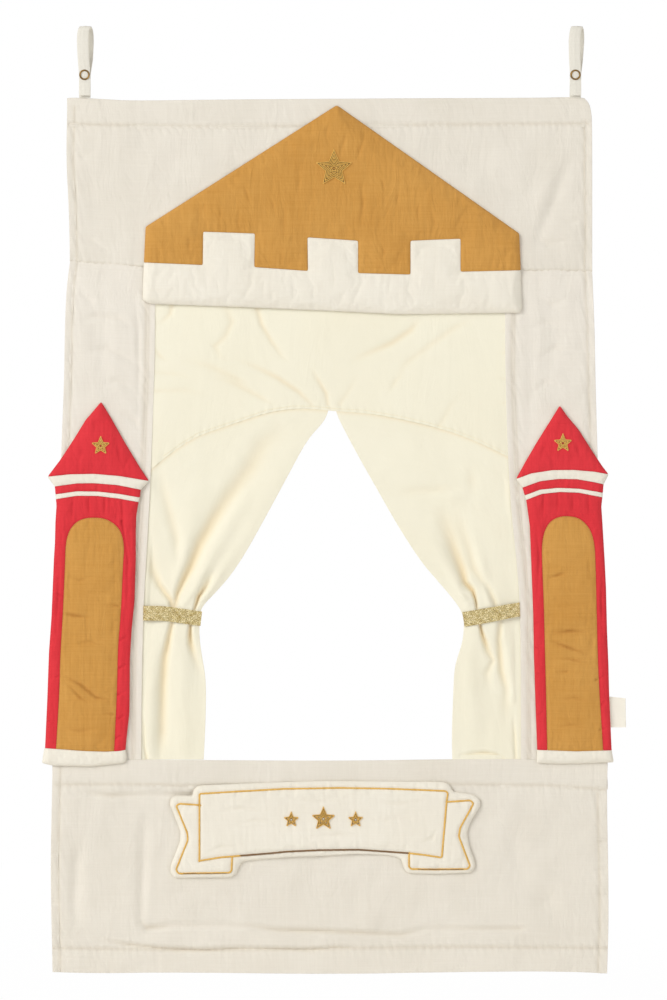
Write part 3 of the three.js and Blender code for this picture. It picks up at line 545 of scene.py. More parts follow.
def makeStitchRun():
    # one tree sews every line: it lays stitches along the edges of a guide mesh
    tree = bpy.data.node_groups.new("stitchRun", "GeometryNodeTree")
    kinds = {"Geometry": "Geometry", "Spacing": "Float", "Length": "Float", "Thread": "Float",
             "Rise": "Float", "Lean": "Float", "Unevenness": "Float", "Seed": "Int", "Material": "Material"}
    for label, kind in kinds.items():
        tree.interface.new_socket(label, in_out="INPUT", socket_type="NodeSocket" + kind)
    tree.interface.new_socket("Geometry", in_out="OUTPUT", socket_type="NodeSocketGeometry")
    given = tree.nodes.new("NodeGroupInput").outputs

    def made(kind, values, output=0, **settings):
        return addNode(tree, kind, values, **settings).outputs[output]

    def place(x, y):
        return made("ShaderNodeCombineXYZ", {"X": x, "Y": y})

    half = mathNode(tree, "MULTIPLY", given["Length"], 0.5)
    arch = made("GeometryNodeCurveQuadraticBezier", {
        "Resolution": 4, "Start": place(mathNode(tree, "MULTIPLY", half, -1.0), 0.0), "End": place(half, 0.0),
        "Middle": place(0.0, mathNode(tree, "MULTIPLY", given["Rise"], -2.0))})
    ring = made("GeometryNodeCurvePrimitiveCircle", {"Resolution": 5, "Radius": given["Thread"]})
    stitch = made("GeometryNodeCurveToMesh", {"Fill Caps": True, "Curve": arch, "Profile Curve": ring})

    guide = made("GeometryNodeMeshToCurve", {"Mesh": given["Geometry"]})
    even = made("GeometryNodeResampleCurve", {"Curve": guide, "Length": given["Spacing"]}, mode="LENGTH")
    tangent = made("GeometryNodeInputTangent", {})
    turn = made("FunctionNodeAlignRotationToVector", {"Vector": tangent}, axis="X", pivot_axis="Y")
    least = mathNode(tree, "MULTIPLY", given["Unevenness"], -1.0)
    chance = made("FunctionNodeRandomValue", {2: least, 3: given["Unevenness"], "Seed": given["Seed"]}, 1,
                  data_type="FLOAT")
    lean = made("ShaderNodeCombineXYZ", {"Y": mathNode(tree, "ADD", given["Lean"], chance)})
    tilt = made("FunctionNodeEulerToRotation", {0: lean})
    twisted = made("FunctionNodeRotateRotation", {0: turn, 1: tilt}, rotation_space="LOCAL")
    laid = made("GeometryNodeInstanceOnPoints", {"Points": even, "Instance": stitch, "Rotation": twisted})
    solid = made("GeometryNodeRealizeInstances", {0: laid})
    finish = made("GeometryNodeSetMaterial", {"Geometry": solid, "Material": given["Material"]})
    addNode(tree, "NodeGroupOutput", {0: finish})
    return tree


stitchRun = makeStitchRun()
topStitch = {"Spacing": 0.0032, "Length": 0.0025, "Thread": 0.00022, "Rise": 0.00022, "Lean": 0.0,
             "Unevenness": 0.05}
cordStitch = {"Spacing": 0.0012, "Length": 0.0034, "Thread": 0.0008, "Rise": 0.0004, "Lean": 0.34,
              "Unevenness": 0.1}


def sew(name, paths, stitch, material, seed):
    # stitches along (x, y, z) lines become one mesh
    points = []
    edges = []
    for path in paths:
        start = len(points)
        points.extend(tuple(map(float, point)) for point in path)
        edges.extend((start + step, start + step + 1) for step in range(len(path) - 1))
    mesh = bpy.data.meshes.new(name)
    mesh.from_pydata(points, edges, [])
    piece = linked(name, mesh)
    run = piece.modifiers.new("sewing", "NODES")
    run.node_group = stitchRun
    values = dict(stitch, Seed=seed, Material=material)
    for item in stitchRun.interface.items_tree:
        if item.item_type == "SOCKET" and item.in_out == "INPUT" and item.name in values:
            run[item.identifier] = values[item.name]
    return bake(piece, sharp=70)


def surfaceOf(*pieces):
    # finds the front surface under a point of the front view
    trees = []
    for piece in pieces:
        points = [vertex.co.copy() for vertex in piece.data.vertices]
        trees.append(BVHTree.FromPolygons(points, [face.vertices[:] for face in piece.data.polygons]))

    def front(x, z, missing=0.0):
        hits = [tree.ray_cast(Vector((x, -0.2, z)), Vector((0, 1, 0)))[0] for tree in trees]
        return min([hit.y for hit in hits if hit is not None], default=missing)

    return front


def onSurface(front, path, lift, spacing=0.0015):
    # lays a line of (x, z) points on a surface, this far in front of it
    count = max(2, round(length(path) / spacing) + 1)
    even = alongPath(path, np.linspace(0, 1, count))
    return np.array([(x, front(x, z) - lift, z) for x, z in even])


print("stitch tree ready")


# canvas: four sheets with turned hems, and a rod casing at the top and at the sill
canvasSettings = {"spacing": 0.0025, "thickness": 0.0008, "front": -0.0004, "sag": 0.0011, "sagSize": 0.16,
                  "ripple": 0.0006, "rippleSize": 0.045, "seamPucker": 0.001, "puckerPitch": 0.011,
                  "puckerSway": 0.09, "puckerReach": 0.009, "foldDepth": 2.8, "seamDent": 0.001,
                  "dentReach": 0.0022, "shadedWidth": 6.5, "deepFold": 0.0013, "foldShade": 0.48,
                  "seamShade": 0.36, "shadeReach": 0.0026, "firmReach": 0.017, "rodFirm": 0.9, "hemFirm": 0.6,
                  "tuck": 0.001, "tuckReach": 0.006}
hemFold = [(-0.25, 0.45), (0.3, 0.95), (4.0, 1.05), (9.5, 1.0)]
stripTop = [(-3.0, 0.5), (-8.0, 0.55)]
rodCasing = [(-0.3, 0.5), (0.2, 1.6), (2.0, 4.6), (5.0, 8.2), (8.5, 10.6), (12.5, 11.5), (17.0, 11.5),
             (21.5, 10.3), (25.0, 7.6), (28.5, 4.0), (31.5, 1.9), (35.0, 1.2), (39.0, 1.1)]


def canvasRelief(x, z, seed, lines, seams):
    # how far the cloth lies behind flat: broad sag, small ripples, traced folds, and puckers beside seams
    given = canvasSettings
    broad = waves(seed, given["sagSize"])(x, z)
    fine = waves(seed + 1, given["rippleSize"], 14)(x, z)
    depth = given["sag"] * (0.5 + 0.5 * broad) + given["ripple"] * fine
    depth = depth + given["foldDepth"] * creases(x, z, lines)
    sway = 3 * waves(seed + 2, given["puckerSway"])(x, z)
    ripple = np.sin((x + z * 0.3) * math.tau / given["puckerPitch"] + sway)
    for seam in seams:
        away = farFrom(x, z, seam)
        depth = depth + given["seamPucker"] * near(away, given["puckerReach"]) * (0.4 + 0.4 * ripple)
        depth = depth + given["seamDent"] * near(away, given["dentReach"])
    return depth


def canvasSheet(name, edges, seed, lines, seams, folds, firmLine, firm, material=canvas):
    # the cloth is firm along one line, and a strip is tucked under the panel above it
    given = canvasSettings
    grid, x, z = tracedPatch(edges, given["spacing"])
    seamPaths = [fromPhoto(seam) for seam in seams]
    firm = firm * near(farFrom(x, z, firmLine), given["firmReach"], 4)
    grid[..., 1] = given["front"] + canvasRelief(x, z, seed, lines, seamPaths) * (1 - firm)
    if ("top", stripTop) in folds:
        grid[..., 1] += given["tuck"] * smoothStep(1 - (grid[:1, :, 2] - z) / given["tuckReach"])
    # painted shade: the colour darkens along the narrow traced creases and beside the seams
    narrow = [line for line in lines if line[0][3] < given["shadedWidth"]]
    paintedShade = given["foldShade"] * np.clip(creases(x, z, narrow) / given["deepFold"], 0, 1) ** 3
    for seam in seamPaths:
        paintedShade = np.maximum(paintedShade, given["seamShade"] * near(farFrom(x, z, seam), given["shadeReach"]))
    return foldedPiece(name, grid, paintedShade, folds, material, given["thickness"])


def besideEdge(points, inward, up=0.0):
    return [(x + inward, y + up) for x, y in points]


def hems(*sides):
    return [(side, hemFold) for side in sides]


def canvasPanel(name, edges, seed, lines, seams, folds, rod):
    low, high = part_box(rod)
    middle = (low.z + high.z) / 2
    alongRod = np.array([(low.x, middle), (high.x, middle)])
    return canvasSheet(name, edges, seed, lines, seams, folds, alongRod, canvasSettings["rodFirm"])


def canvasStrip(name, edges, seed, seams, inner):
    return canvasSheet(name, edges, seed, stripFolds, seams, [("top", stripTop)] + hems("left", "right"),
                       fromPhoto(edges[inner]), canvasSettings["hemFirm"], stripCanvas)


headSeam = [(70.3, 262.2), (142.7, 267.4), (330, 269.5), (523.7, 270.8), (591.8, 271.7)]
casingSeam = [(70, 124), (200, 126.5), (330, 126), (460, 124.5), (588, 123.5)]
upperEdges = {
    "top": [(67.4, 98.6), (72, 97.9), (103, 99.5), (130, 101.2), (200, 100.2), (330, 99.2), (440, 98.6),
            (540, 98.2), (565.7, 97.5), (580, 97.9), (584.5, 98.8)],
    "bottom": headSeam,
    "left": [(67.4, 98.6), (67.7, 107.2), (66.5, 158.9), (69.5, 210.5), (70.3, 262.2)],
    "right": [(584.5, 98.8), (588.5, 103), (590.6, 110.3), (591.7, 121.3), (591.8, 200), (591.8, 271.7)]}
upperFolds = [
    [(574.5, 146.8, 0, 8), (560, 185, 0.9, 9), (545, 222, 0.9, 9), (533.2, 255.3, 0, 8)],
    [(556, 150, 0, 12), (541, 200, -0.7, 14), (531, 235, 0, 12)],
    [(120, 150, 0, 20), (170, 160, 0.6, 22), (230, 152, 0, 20)],
    [(420, 140, 0, 18), (470, 160, 0.5, 20), (520, 150, 0, 18)],
    [(88, 180, 0, 14), (100, 215, 0.5, 16), (98, 250, 0, 14)],
    [(76, 236, 0, 4), (92, 240, 0.7, 5), (112, 254, 0, 4)], dent(0.6, 4, 72, 150, 84, 156, 98, 152),
    [(532, 236, 0, 4), (548, 244, 0.8, 5), (572, 240, 0, 4)],
    [(552, 214, 0, 5), (570, 222, 0.6, 5), (586, 218, 0, 4)], dent(0.5, 5, 196, 112, 240, 108, 290, 112),
    dent(0.5, 5, 400, 110, 470, 107, 540, 112)]
upperSeams = [headSeam, casingSeam, besideEdge(upperEdges["left"][1:], 6.5),
              besideEdge(upperEdges["right"][3:], -6.5)]
upperPanel = canvasPanel("upperPanelCanvas", upperEdges, 11, upperFolds, upperSeams,
                         [("top", rodCasing)] + hems("left", "right", "bottom"), "top_rod")

leftStripEdges = {
    "top": [(70.3, 262.6), (142.7, 267.8), (154.7, 268.2)],
    "bottom": [(52.8, 759.6), (141, 759.6)],
    "left": [(70.3, 262.6), (66.9, 288), (65.2, 330), (64.6, 380), (61.4, 456), (57, 610), (52.8, 759.6)],
    "right": [(154.7, 268.2), (154.8, 330), (154, 380), (149.5, 500), (144.6, 580), (142.9, 620),
              (141.3, 690), (141, 759.6)]}
rightStripEdges = {
    "top": [(505.4, 270.8), (523.7, 271.2), (591.8, 272.1)],
    "bottom": [(521.4, 759.6), (607.6, 759.6)],
    "left": [(505.4, 270.8), (505.4, 380), (509.7, 493), (518.2, 575), (520.8, 618), (521.2, 690),
             (521.4, 759.6)],
    "right": [(591.8, 272.1), (594.3, 330), (595, 380), (598.5, 500), (603, 640), (607.6, 759.6)]}
stripFolds = [
    [(104, 285, 0, 10), (100, 330, 0.7, 12), (108, 390, 0, 10)],
    [(78, 322, 0, 4), (96, 316, 0.7, 5), (118, 318, 0.8, 5), (138, 330, 0, 4)],
    [(84, 352, 0, 5), (108, 348, 0.8, 5), (132, 360, 0.5, 5), (144, 376, 0, 4)],
    [(96, 388, 0, 5), (118, 380, 0.7, 5), (138, 392, 0, 4)], dent(0.8, 4, 120, 412, 134, 420, 146, 436),
    dent(0.6, 5, 76, 290, 90, 300, 98, 318), dent(0.7, 3, 136, 290, 139, 350, 138, 420),
    dent(0.8, 5, 534, 296, 552, 304, 572, 300), [(526, 330, 0, 4), (546, 322, 0.7, 5), (574, 326, 0, 5)],
    [(536, 360, 0, 4), (556, 348, 0.8, 5), (580, 354, 0, 4)], dent(0.7, 4, 530, 396, 546, 382, 566, 388),
    [(548, 290, 0, 12), (556, 340, 0.7, 12), (549, 400, 0, 10)], dent(0.5, 8, 528, 300, 531, 380, 527, 470)]
leftSeams = [besideEdge(leftStripEdges["left"], 6.5), besideEdge(leftStripEdges["right"], -6.4),
             besideEdge(leftStripEdges["right"], -8.8)]
leftStrip = canvasStrip("leftStripCanvas", leftStripEdges, 21, leftSeams, "right")
rightSeams = [besideEdge(rightStripEdges["left"], 6.4), besideEdge(rightStripEdges["left"], 8.8),
              besideEdge(rightStripEdges["right"], -6.5)]
rightStrip = canvasStrip("rightStripCanvas", rightStripEdges, 31, rightSeams, "left")

sillSeam = [(56, 784.4), (122.3, 784), (193, 785.5), (330, 785), (450.6, 784.1), (550.6, 785.3),
            (605, 789.5)]
hemSeam = [(53, 948), (200, 950.4), (330, 948.5), (460, 947), (607, 948)]
lowerEdges = {
    "top": [(52.6, 761), (126, 759.9), (203.8, 760.6), (340, 761.4), (452, 759.6), (530, 759.4),
            (607.4, 761)],
    "bottom": [(53, 971.6), (97.4, 973), (174, 971.9), (340, 973.8), (442.4, 971.8), (524, 970.8),
               (579, 971.6), (606.7, 973)],
    "left": [(52.6, 761), (53, 768), (51.5, 835.7), (51.1, 883.5), (53, 971.6)],
    "right": [(607.4, 761), (606.3, 793), (607.8, 862.4), (608.2, 923.7), (606.7, 973)]}
lowerFolds = [
    [(139.5, 920, 0, 5), (147, 928.4, 1.6, 4.5), (174, 925.6, 0.8, 5), (221.7, 925.2, 0.7, 5),
     (250.4, 926.5, 0.9, 4), (279, 930.4, 1.4, 4), (330, 931.6, 1.5, 4), (401.6, 934.9, 1.2, 4),
     (426, 928.8, 0.7, 4), (483, 928.8, 1.1, 4), (520, 928.8, 1.1, 3.5), (528, 929, 0, 3)],
    [(96, 940, 0, 4), (124.2, 944.3, 1.3, 3.5), (162.4, 948.9, 1.6, 3.5), (202.6, 950.4, 1.6, 3),
     (250.4, 948.2, 1.1, 3), (307.8, 950.4, 1.4, 3), (340, 947.6, 1.0, 3), (360, 946.8, 0, 3)],
    [(145.5, 808, 0, 8), (145, 845, 1.3, 9), (142.5, 885, 1.4, 8), (141, 922, 0.6, 6)],
    [(150.5, 812, 0, 6), (150, 850, -0.3, 7), (148, 890, -0.3, 7), (148, 915, 0, 6)],
    [(84, 835, 0, 9), (77, 862, 1.3, 9), (75, 900, 1.4, 9), (79, 940, 0, 9)],
    [(65, 791, 0, 4), (90, 793.5, 0.7, 4), (112.7, 795.5, 1.3, 4), (150, 794.5, 0.7, 4), (192, 795, 1.2, 4),
     (205, 795, 0, 4)],
    [(530, 880, 0, 14), (548, 900, 0.8, 14), (566, 935, 0, 12)],
    [(515, 820, 0, 14), (517, 850, 0.6, 14), (522, 905, 0, 12)],
    [(480, 795, 0, 16), (520, 810, -0.6, 16), (580, 800, 0, 14)],
    [(240, 890, 0, 18), (330, 900, 0.6, 20), (430, 890, 0, 18)], [(600, 842, 0.8, 3), (607, 842, 0.8, 3)],
    [(592, 870, 0, 3), (606, 870, 0.7, 3)], [(593, 895, 0, 3), (607, 896, 0.6, 3)],
    [(53, 853, 0.6, 3), (63, 855, 0, 3)], [(53, 902, 0.6, 3), (62, 905, 0, 3)]]
lowerSeams = [sillSeam, hemSeam, besideEdge(lowerEdges["left"][1:], 7.2),
              besideEdge(lowerEdges["right"][1:], -8.6)]
lowerPanel = canvasPanel("lowerPanelCanvas", lowerEdges, 41, lowerFolds, lowerSeams,
                         [("top", rodCasing)] + hems("bottom", "left", "right"), "sill_rod")
print("canvas sheets ready")


# cream cloth: the valance with its arched edge, and two curtains
creamSettings = {"spacing": 0.0023, "thickness": 0.0006}
valanceSettings = {"front": -0.0002, "sag": 0.0014, "sagSize": 0.14, "foldDepth": 0.85, "seamPucker": 0.00035,
                   "puckerPitch": 0.012, "puckerSway": 0.08, "puckerReach": 0.008, "sideTuck": 0.0009,
                   "tuckReach": 0.02, "foldShade": 0.34, "deepFold": 0.0016}
valanceHem = [(-0.2, 0.3), (0.2, 0.6), (6, 0.7)]
archSeam = [(150.4, 469.5), (164.2, 458), (180, 446.5), (197.4, 435.7), (229.3, 424.9), (267.6, 412.1),
            (293, 408.3), (312, 408.6), (328.8, 410.2), (336, 411), (366, 412.7), (397.9, 418.2),
            (427, 424.8), (451.2, 431.5), (475.5, 440.6), (504.5, 454.5), (509.6, 457)]
valanceEdges = {
    "top": [(150.4, 268), (330, 268), (509.6, 268)], "bottom": archSeam,
    "left": [(150.4, 268), (150.4, 469.5)], "right": [(509.6, 268), (509.6, 457)]}
valanceFolds = [
    [(256, 305, 1.3, 5), (262, 325, 1.5, 4), (272, 342, 1.3, 4), (282, 356, 0.7, 4), (290, 364, 0, 4)],
    [(226, 306, 0.5, 6), (232, 322, 1.0, 5), (225, 337, 1.0, 4.5), (215, 346, 1.1, 4.5), (220, 356, 0.5, 5),
     (232, 362, 0, 5)],
    [(172, 304, 1.3, 4), (170, 314, 1.3, 3.5), (162, 322, 0.6, 3.5), (154, 325, 0, 3)],
    [(232, 357, 0, 5), (256, 367, 0.9, 4.5), (278, 378, 1.5, 4.5), (299, 392, 1.5, 4), (311, 404, 0.8, 4)],
    [(176, 358, 0, 5), (212, 367, 0.8, 5), (238, 379, 0.9, 4.5), (252, 385, 0, 5)],
    [(205, 372, 0, 6), (238, 385, 1.0, 5), (262, 398, 1.0, 4.5), (272, 404, 0.3, 4)],
    [(310, 366, 0, 4), (318, 380, 1.2, 4), (326, 393, 1.6, 3.5), (328, 407, 1.2, 3)],
    [(422, 316, 0, 5), (411, 330, 1.5, 5), (392, 343, 1.6, 5), (369, 353, 1.0, 5), (346, 364, 0, 6)],
    [(474, 318, 0, 6), (456, 327, 0.9, 5), (432, 344, 0.9, 5), (409, 361, 0.8, 5), (392, 378, 0, 5)],
    dent(0.9, 4, 408, 368, 395, 382, 386, 397), [(152, 346, 0.5, 3), (160, 356, 1.0, 3.5), (170, 363, 0, 4)],
    [(152, 391, 0.8, 4), (185, 390, 0.6, 5), (210, 396, 0, 5)],
    [(152, 372, 0.6, 3.5), (176, 374, 0.6, 4), (196, 379, 0, 4)], [(508, 330, 0.9, 2.5), (497, 331, 0, 3)],
    [(508, 352, 0.9, 2.5), (496, 354, 0, 3)], [(508, 379, 0.9, 2.5), (494, 377, 0, 3)],
    [(508, 402, 0.9, 2.5), (495, 405, 0, 3)], [(340, 404, 0.9, 4), (352, 386, 0.5, 5), (360, 372, 0, 5)],
    [(440, 425, 0.8, 4), (452, 404, 0.5, 5), (468, 388, 0, 6)]]


def valance():
    given = valanceSettings
    grid, x, z = tracedPatch(valanceEdges, creamSettings["spacing"])
    sway = 3 * waves(53, given["puckerSway"])(x, z)
    ripple = np.sin(x * math.tau / given["puckerPitch"] + sway)
    beside = near(farFrom(x, z, fromPhoto(archSeam)), given["puckerReach"])
    fromSide = 0.5 * (x.max() - x.min()) - np.abs(x - 0.5 * (x.max() + x.min()))
    free = smoothStep(fromSide / given["tuckReach"])
    traced = creases(x, z, valanceFolds)
    sag = given["sag"] * (0.5 + 0.5 * waves(51, given["sagSize"])(x, z))
    soft = (sag + given["foldDepth"] * traced) * free
    pucker = given["seamPucker"] * beside * ripple
    grid[..., 1] = given["front"] + soft + pucker + given["sideTuck"] * (1 - free)
    # painted shade along the traced folds
    paintedShade = given["foldShade"] * np.clip(traced / given["deepFold"], 0, 1) ** 1.5
    return foldedPiece("valanceCloth", grid, paintedShade, [("bottom", valanceHem)], cream,
                       creamSettings["thickness"])


curtainSettings = {"back": 0.0013, "sag": 0.0011, "sagSize": 0.11, "ripple": 0.00025, "rippleSize": 0.035,
                   "foldDepth": 1.6, "deepFold": 0.0052, "hingeShare": 0.06, "topShare": 0.04,
                   "topReach": 0.02, "tieHeight": -0.806, "tieReach": 0.012, "tieGrip": 0.45,
                   "gather": 0.0032, "gatherReach": 0.055, "archShade": 0.3, "archReach": 0.0035,
                   "seamBack": 0.0001}
curtainHem = [(-0.1, 0.35), (0.3, 0.7), (5.5, 0.8)]
leftCurtainEdges = {
    "top": [(150.4, 465.5), (164.2, 454), (180, 442.5), (197.4, 431.7), (229.3, 420.9), (267.6, 408.1),
            (293, 404.4), (312, 404.8), (328.5, 406.6)],
    "bottom": [(141.3, 759.4), (172, 759.2), (203.4, 759.4)],
    "left": [(150.4, 465.5), (149.2, 520), (147.4, 560), (145.6, 612), (144.2, 680), (141.3, 759.4)],
    "right": [(328.5, 406.6), (327.8, 412), (323.7, 421.7), (307, 439.5), (289.2, 472.7), (271.4, 505.9),
              (251, 542.9), (240.8, 560), (228.2, 578.2), (214.1, 593.7), (204.5, 603.5), (200.3, 610.5),
              (199.4, 618), (199.2, 626), (199.2, 638.5), (201.5, 655.4), (204.6, 672.2), (205.7, 686.2),
              (205.6, 705), (205, 728.3), (203.4, 759.4)]}
rightCurtainEdges = {
    "top": [(336, 407), (366, 408.7), (397.9, 414.2), (427, 420.8), (451.2, 427.5), (475.5, 436.6),
            (504.5, 450.5), (509.4, 453)],
    "bottom": [(452.6, 759.2), (486, 759), (519, 759.4)],
    "left": [(336, 407), (336.4, 412), (341, 423), (359, 457), (378.5, 491), (390.6, 512.7), (405.2, 537),
             (422, 562.4), (436.7, 579.4), (449, 593.5), (458, 605), (462, 612), (464, 620), (464.3, 627.2),
             (462.7, 642.8), (457.5, 658), (454.7, 669.5), (453.6, 690), (452, 735.4), (452.6, 759.2)],
    "right": [(509.4, 453), (511, 520), (514.3, 609.5), (517, 690), (519, 759.4)]}
# (px, py, depth mm, width mm); depth is to the back, so a minus sign makes a ridge
leftCurtainFolds = [
    [(290.5, 420.4, 0, 12), (262.4, 445.9, 1.6, 14), (248.4, 471.4, 2.2, 13), (229.3, 498.2, 2.8, 12),
     (212.7, 522.4, 3.2, 11), (200, 544, 3.6, 9.5), (190.3, 567, 4.0, 7.5), (183.3, 581, 4.0, 5.5),
     (177.7, 593.7, 3.6, 4), (175.2, 607, 2.6, 3.5)],
    [(147, 532.6, 0, 10), (152.4, 569.8, 2.0, 7), (159.5, 585.2, 2.8, 5), (170.7, 600.7, 3.2, 4),
     (172.4, 612, 2.6, 3.5), (172, 623, 3.2, 3.5), (167.9, 644, 3.8, 5), (165, 658, 3.6, 6),
     (163, 686, 3.2, 6.5), (162, 732.5, 2.6, 8), (160, 752, 1.0, 9)],
    [(159.8, 463.8, 0, 8), (164.2, 491.8, 1.2, 8), (170.6, 517.3, 1.6, 8), (177, 540.3, 1.6, 7),
     (178.3, 569.6, 0, 6)],
    [(216, 566, 0, 8), (206, 586, 3.0, 5), (198.7, 596.5, 4.6, 3.2), (194.6, 609, 3.4, 2.4),
     (192, 618, 2.6, 2.2), (190.3, 626, 4.0, 2.4), (190, 634.3, 4.4, 3.2), (190.6, 644, 3.6, 4.5),
     (194, 655.4, 2.0, 5.5), (199, 672, 0.6, 6)],
    [(183, 640, 0, 9), (182, 680, -1.6, 12), (184, 730, -1.4, 14), (184, 759, -0.8, 14)],
    [(152, 640, 0, 7), (151, 690, -1.4, 8), (150.5, 740, -1.2, 8), (151, 759, -0.6, 8)],
    [(141.2, 711.5, 0.4, 2), (144, 725.5, 1.4, 2.2), (144.3, 746.5, 1.6, 2.2), (147, 758.5, 1.8, 3)],
    [(255, 470, 0, 16), (236, 512, -1.4, 16), (214, 552, -1.8, 11), (196, 586, -1.6, 6),
     (184, 604, -0.8, 4)],
    [(200, 470, 0, 14), (192, 510, -1.0, 14), (184, 560, -1.2, 8), (173, 588, -0.6, 5)],
    [(300, 440, 0, 10), (272, 486, -1.0, 14), (243, 540, -1.3, 12), (216, 580, -1.2, 6),
     (204, 600, -0.6, 4)]]
rightCurtainFolds = [
    [(439, 500, 0, 12), (446, 525, 1.6, 11), (453.6, 548, 2.8, 9), (462, 570, 3.6, 7),
     (465.3, 582.5, 4.0, 5), (473, 591, 4.6, 3.2), (475.8, 600.7, 4.2, 2.2), (477.4, 612, 3.0, 2.2),
     (480, 624.6, 4.2, 2.2), (482.1, 633, 4.4, 3), (484.9, 641.4, 3.8, 4), (488.4, 651.2, 2.6, 4.5),
     (493.3, 660.5, 1.8, 4), (487, 674, 1.4, 6), (489, 694, 0, 7)],
    [(453.6, 500, 0, 10), (462, 528, 1.2, 9), (470, 550, 1.8, 8), (475, 568.4, 2.2, 7),
     (486.3, 585.3, 2.4, 5), (494.7, 602, 2.0, 4), (498, 612, 1.8, 4), (500.4, 621.8, 2.2, 4),
     (499, 638.6, 2.6, 4.5), (500.4, 655.4, 2.8, 5), (501.8, 672.3, 2.6, 5), (507, 688, 2.0, 6),
     (506, 712, 0.8, 8), (508, 730, 0, 8)],
    [(390.6, 495.8, 0, 7), (415, 491, 0.9, 7), (440, 489, 1.0, 7), (468, 487.3, 0, 7)],
    dent(-0.9, 8, 430, 498, 451, 500, 470, 497), dent(1.0, 8, 470.6, 462, 472, 480, 474, 500),
    [(429.4, 555, 0, 9), (444, 572, 1.0, 8), (458.5, 580, 0, 6)],
    [(455, 592, 0, 3), (464, 598, -1.2, 3), (472, 600, -0.8, 3), (467, 608, 0, 3)],
    dent(0.9, 6, 504.5, 472.7, 508, 490, 511, 510),
    [(461, 755.5, 0.6, 2.5), (474, 753.5, 1.8, 2.8), (486.3, 753, 2.2, 2.8), (496, 754.4, 1.6, 2.5),
     (504.6, 758.6, 0.6, 2)],
    [(513.5, 715, 0, 3), (515, 735, 1.4, 3), (516, 758, 1.4, 3)],
    [(420, 520, 0, 14), (440, 556, -1.4, 11), (458, 586, -1.4, 6), (467, 603, -0.6, 4)],
    [(470, 520, 0, 11), (480, 560, -1.3, 9), (487, 592, -1.2, 5), (489, 604, -0.6, 4)],
    [(470, 640, 0, 7), (470, 680, -1.4, 12), (474, 730, -1.2, 14), (476, 748, 0, 10)],
    [(508, 630, 0, 6), (510, 660, -1.3, 6), (512, 700, -0.8, 6)]]


def curtain(name, edges, folds, freeSide, seed):
    given = curtainSettings
    grid, x, z = tracedPatch(edges, creamSettings["spacing"])
    broad = given["sag"] * waves(seed, given["sagSize"])(x, z)
    broad = broad + given["ripple"] * waves(seed + 1, given["rippleSize"], 12)(x, z)
    down, across = (np.linspace(0, 1, count) for count in grid.shape[:2])
    fromHinge = across[None, :] if freeSide == "right" else 1 - across[None, :]
    held = smoothStep(fromHinge / given["hingeShare"])
    top = softened(fromPhoto(edges["top"]))[:, 1].max()
    fromTop = smoothStep((top - z) / given["topReach"]) * smoothStep(down[:, None] / given["topShare"])
    fromTie = z - given["tieHeight"]
    traced = creases(x, z, folds)
    grip = 1 - given["tieGrip"] * near(fromTie, given["tieReach"], 4)
    folded = (given["foldDepth"] * traced + broad) * grip
    gather = given["gather"] * near(fromTie, given["gatherReach"]) * smoothStep(fromHinge / 0.4)
    gather = gather * smoothStep((1.1 - fromHinge) / 0.3)
    grid[..., 1] = given["back"] + folded * held * fromTop - gather
    # painted shade in the traced folds, and a painted shadow below the valance's arched edge
    paintedShade = np.clip(traced / given["deepFold"], 0, 1) ** 1.5
    underArch = given["archShade"] * near(farFrom(x, z, fromPhoto(archSeam)), given["archReach"])
    return foldedPiece(name, grid, np.maximum(paintedShade, underArch),
                       [(freeSide, curtainHem), ("bottom", curtainHem)], cream, creamSettings["thickness"])


def curtainSeam(name, left, right):
    # the cream edge outside the hinge line, sewn to the strip's hem
    left, right = fromPhoto(left), fromPhoto(right)
    top, bottom = (np.stack((left[end], right[end])) for end in (0, -1))
    grid = patch(top, bottom, left, right, creamSettings["spacing"])
    grid[..., 1] = curtainSettings["back"] + curtainSettings["seamBack"]
    return gridPiece(name, grid, cream, creamSettings["thickness"])


valanceCloth = valance()
leftCurtain = curtain("leftCurtainCloth", leftCurtainEdges, leftCurtainFolds, "right", 61)
rightCurtain = curtain("rightCurtainCloth", rightCurtainEdges, rightCurtainFolds, "left", 71)
leftCurtainSeam = curtainSeam("leftCurtainSeam", [(146, 466), (138.5, 612), (136, 759.4)],
                              [(151.4, 466), (146.2, 612), (141.9, 759.4)])
rightCurtainSeam = curtainSeam("rightCurtainSeam", [(508.4, 453), (513.6, 609.5), (518.2, 759.4)],
                               [(515, 453), (526, 609.5), (527, 759.4)])
print("valance and curtains ready")


# pads: quilted castle pieces, sewn flat at their edges and swollen between
def roundedOutline(points, radius):
    # a closed outline whose corners are turned in a small curve
    points = np.asarray(points, dtype=float)
    turned = []
    for before, corner, after in zip(np.roll(points, 1, axis=0), points, np.roll(points, -1, axis=0)):
        back = before - corner
        ahead = after - corner
        cut = min(radius, 0.4 * np.linalg.norm(back), 0.4 * np.linalg.norm(ahead))
        start = corner + back / np.linalg.norm(back) * cut
        end = corner + ahead / np.linalg.norm(ahead) * cut
        turned.extend((start, (start + end) / 4 + corner / 2, end))
    return np.array(turned)


def evenly(path, spacing, closed=False):
    # the path's own corners stay, with points between them
    points = np.vstack((path, path[:1])) if closed else np.asarray(path)
    result = []
    for start, end in zip(points[:-1], points[1:]):
        count = max(1, round(np.linalg.norm(end - start) / spacing))
        result.extend(start + (end - start) * step / count for step in range(count))
    if not closed:
        result.append(points[-1])
    return np.array(result)


def inside(points, outline):
    x, z = points[:, 0], points[:, 1]
    within = np.zeros(len(points), dtype=bool)
    for (ax, az), (bx, bz) in zip(outline, np.roll(outline, -1, axis=0)):
        crosses = (az > z) != (bz > z)
        edge = (bx - ax) * (z - az) / (bz - az if bz != az else 1e-12) + ax
        within ^= crosses & (x < edge)
    return within


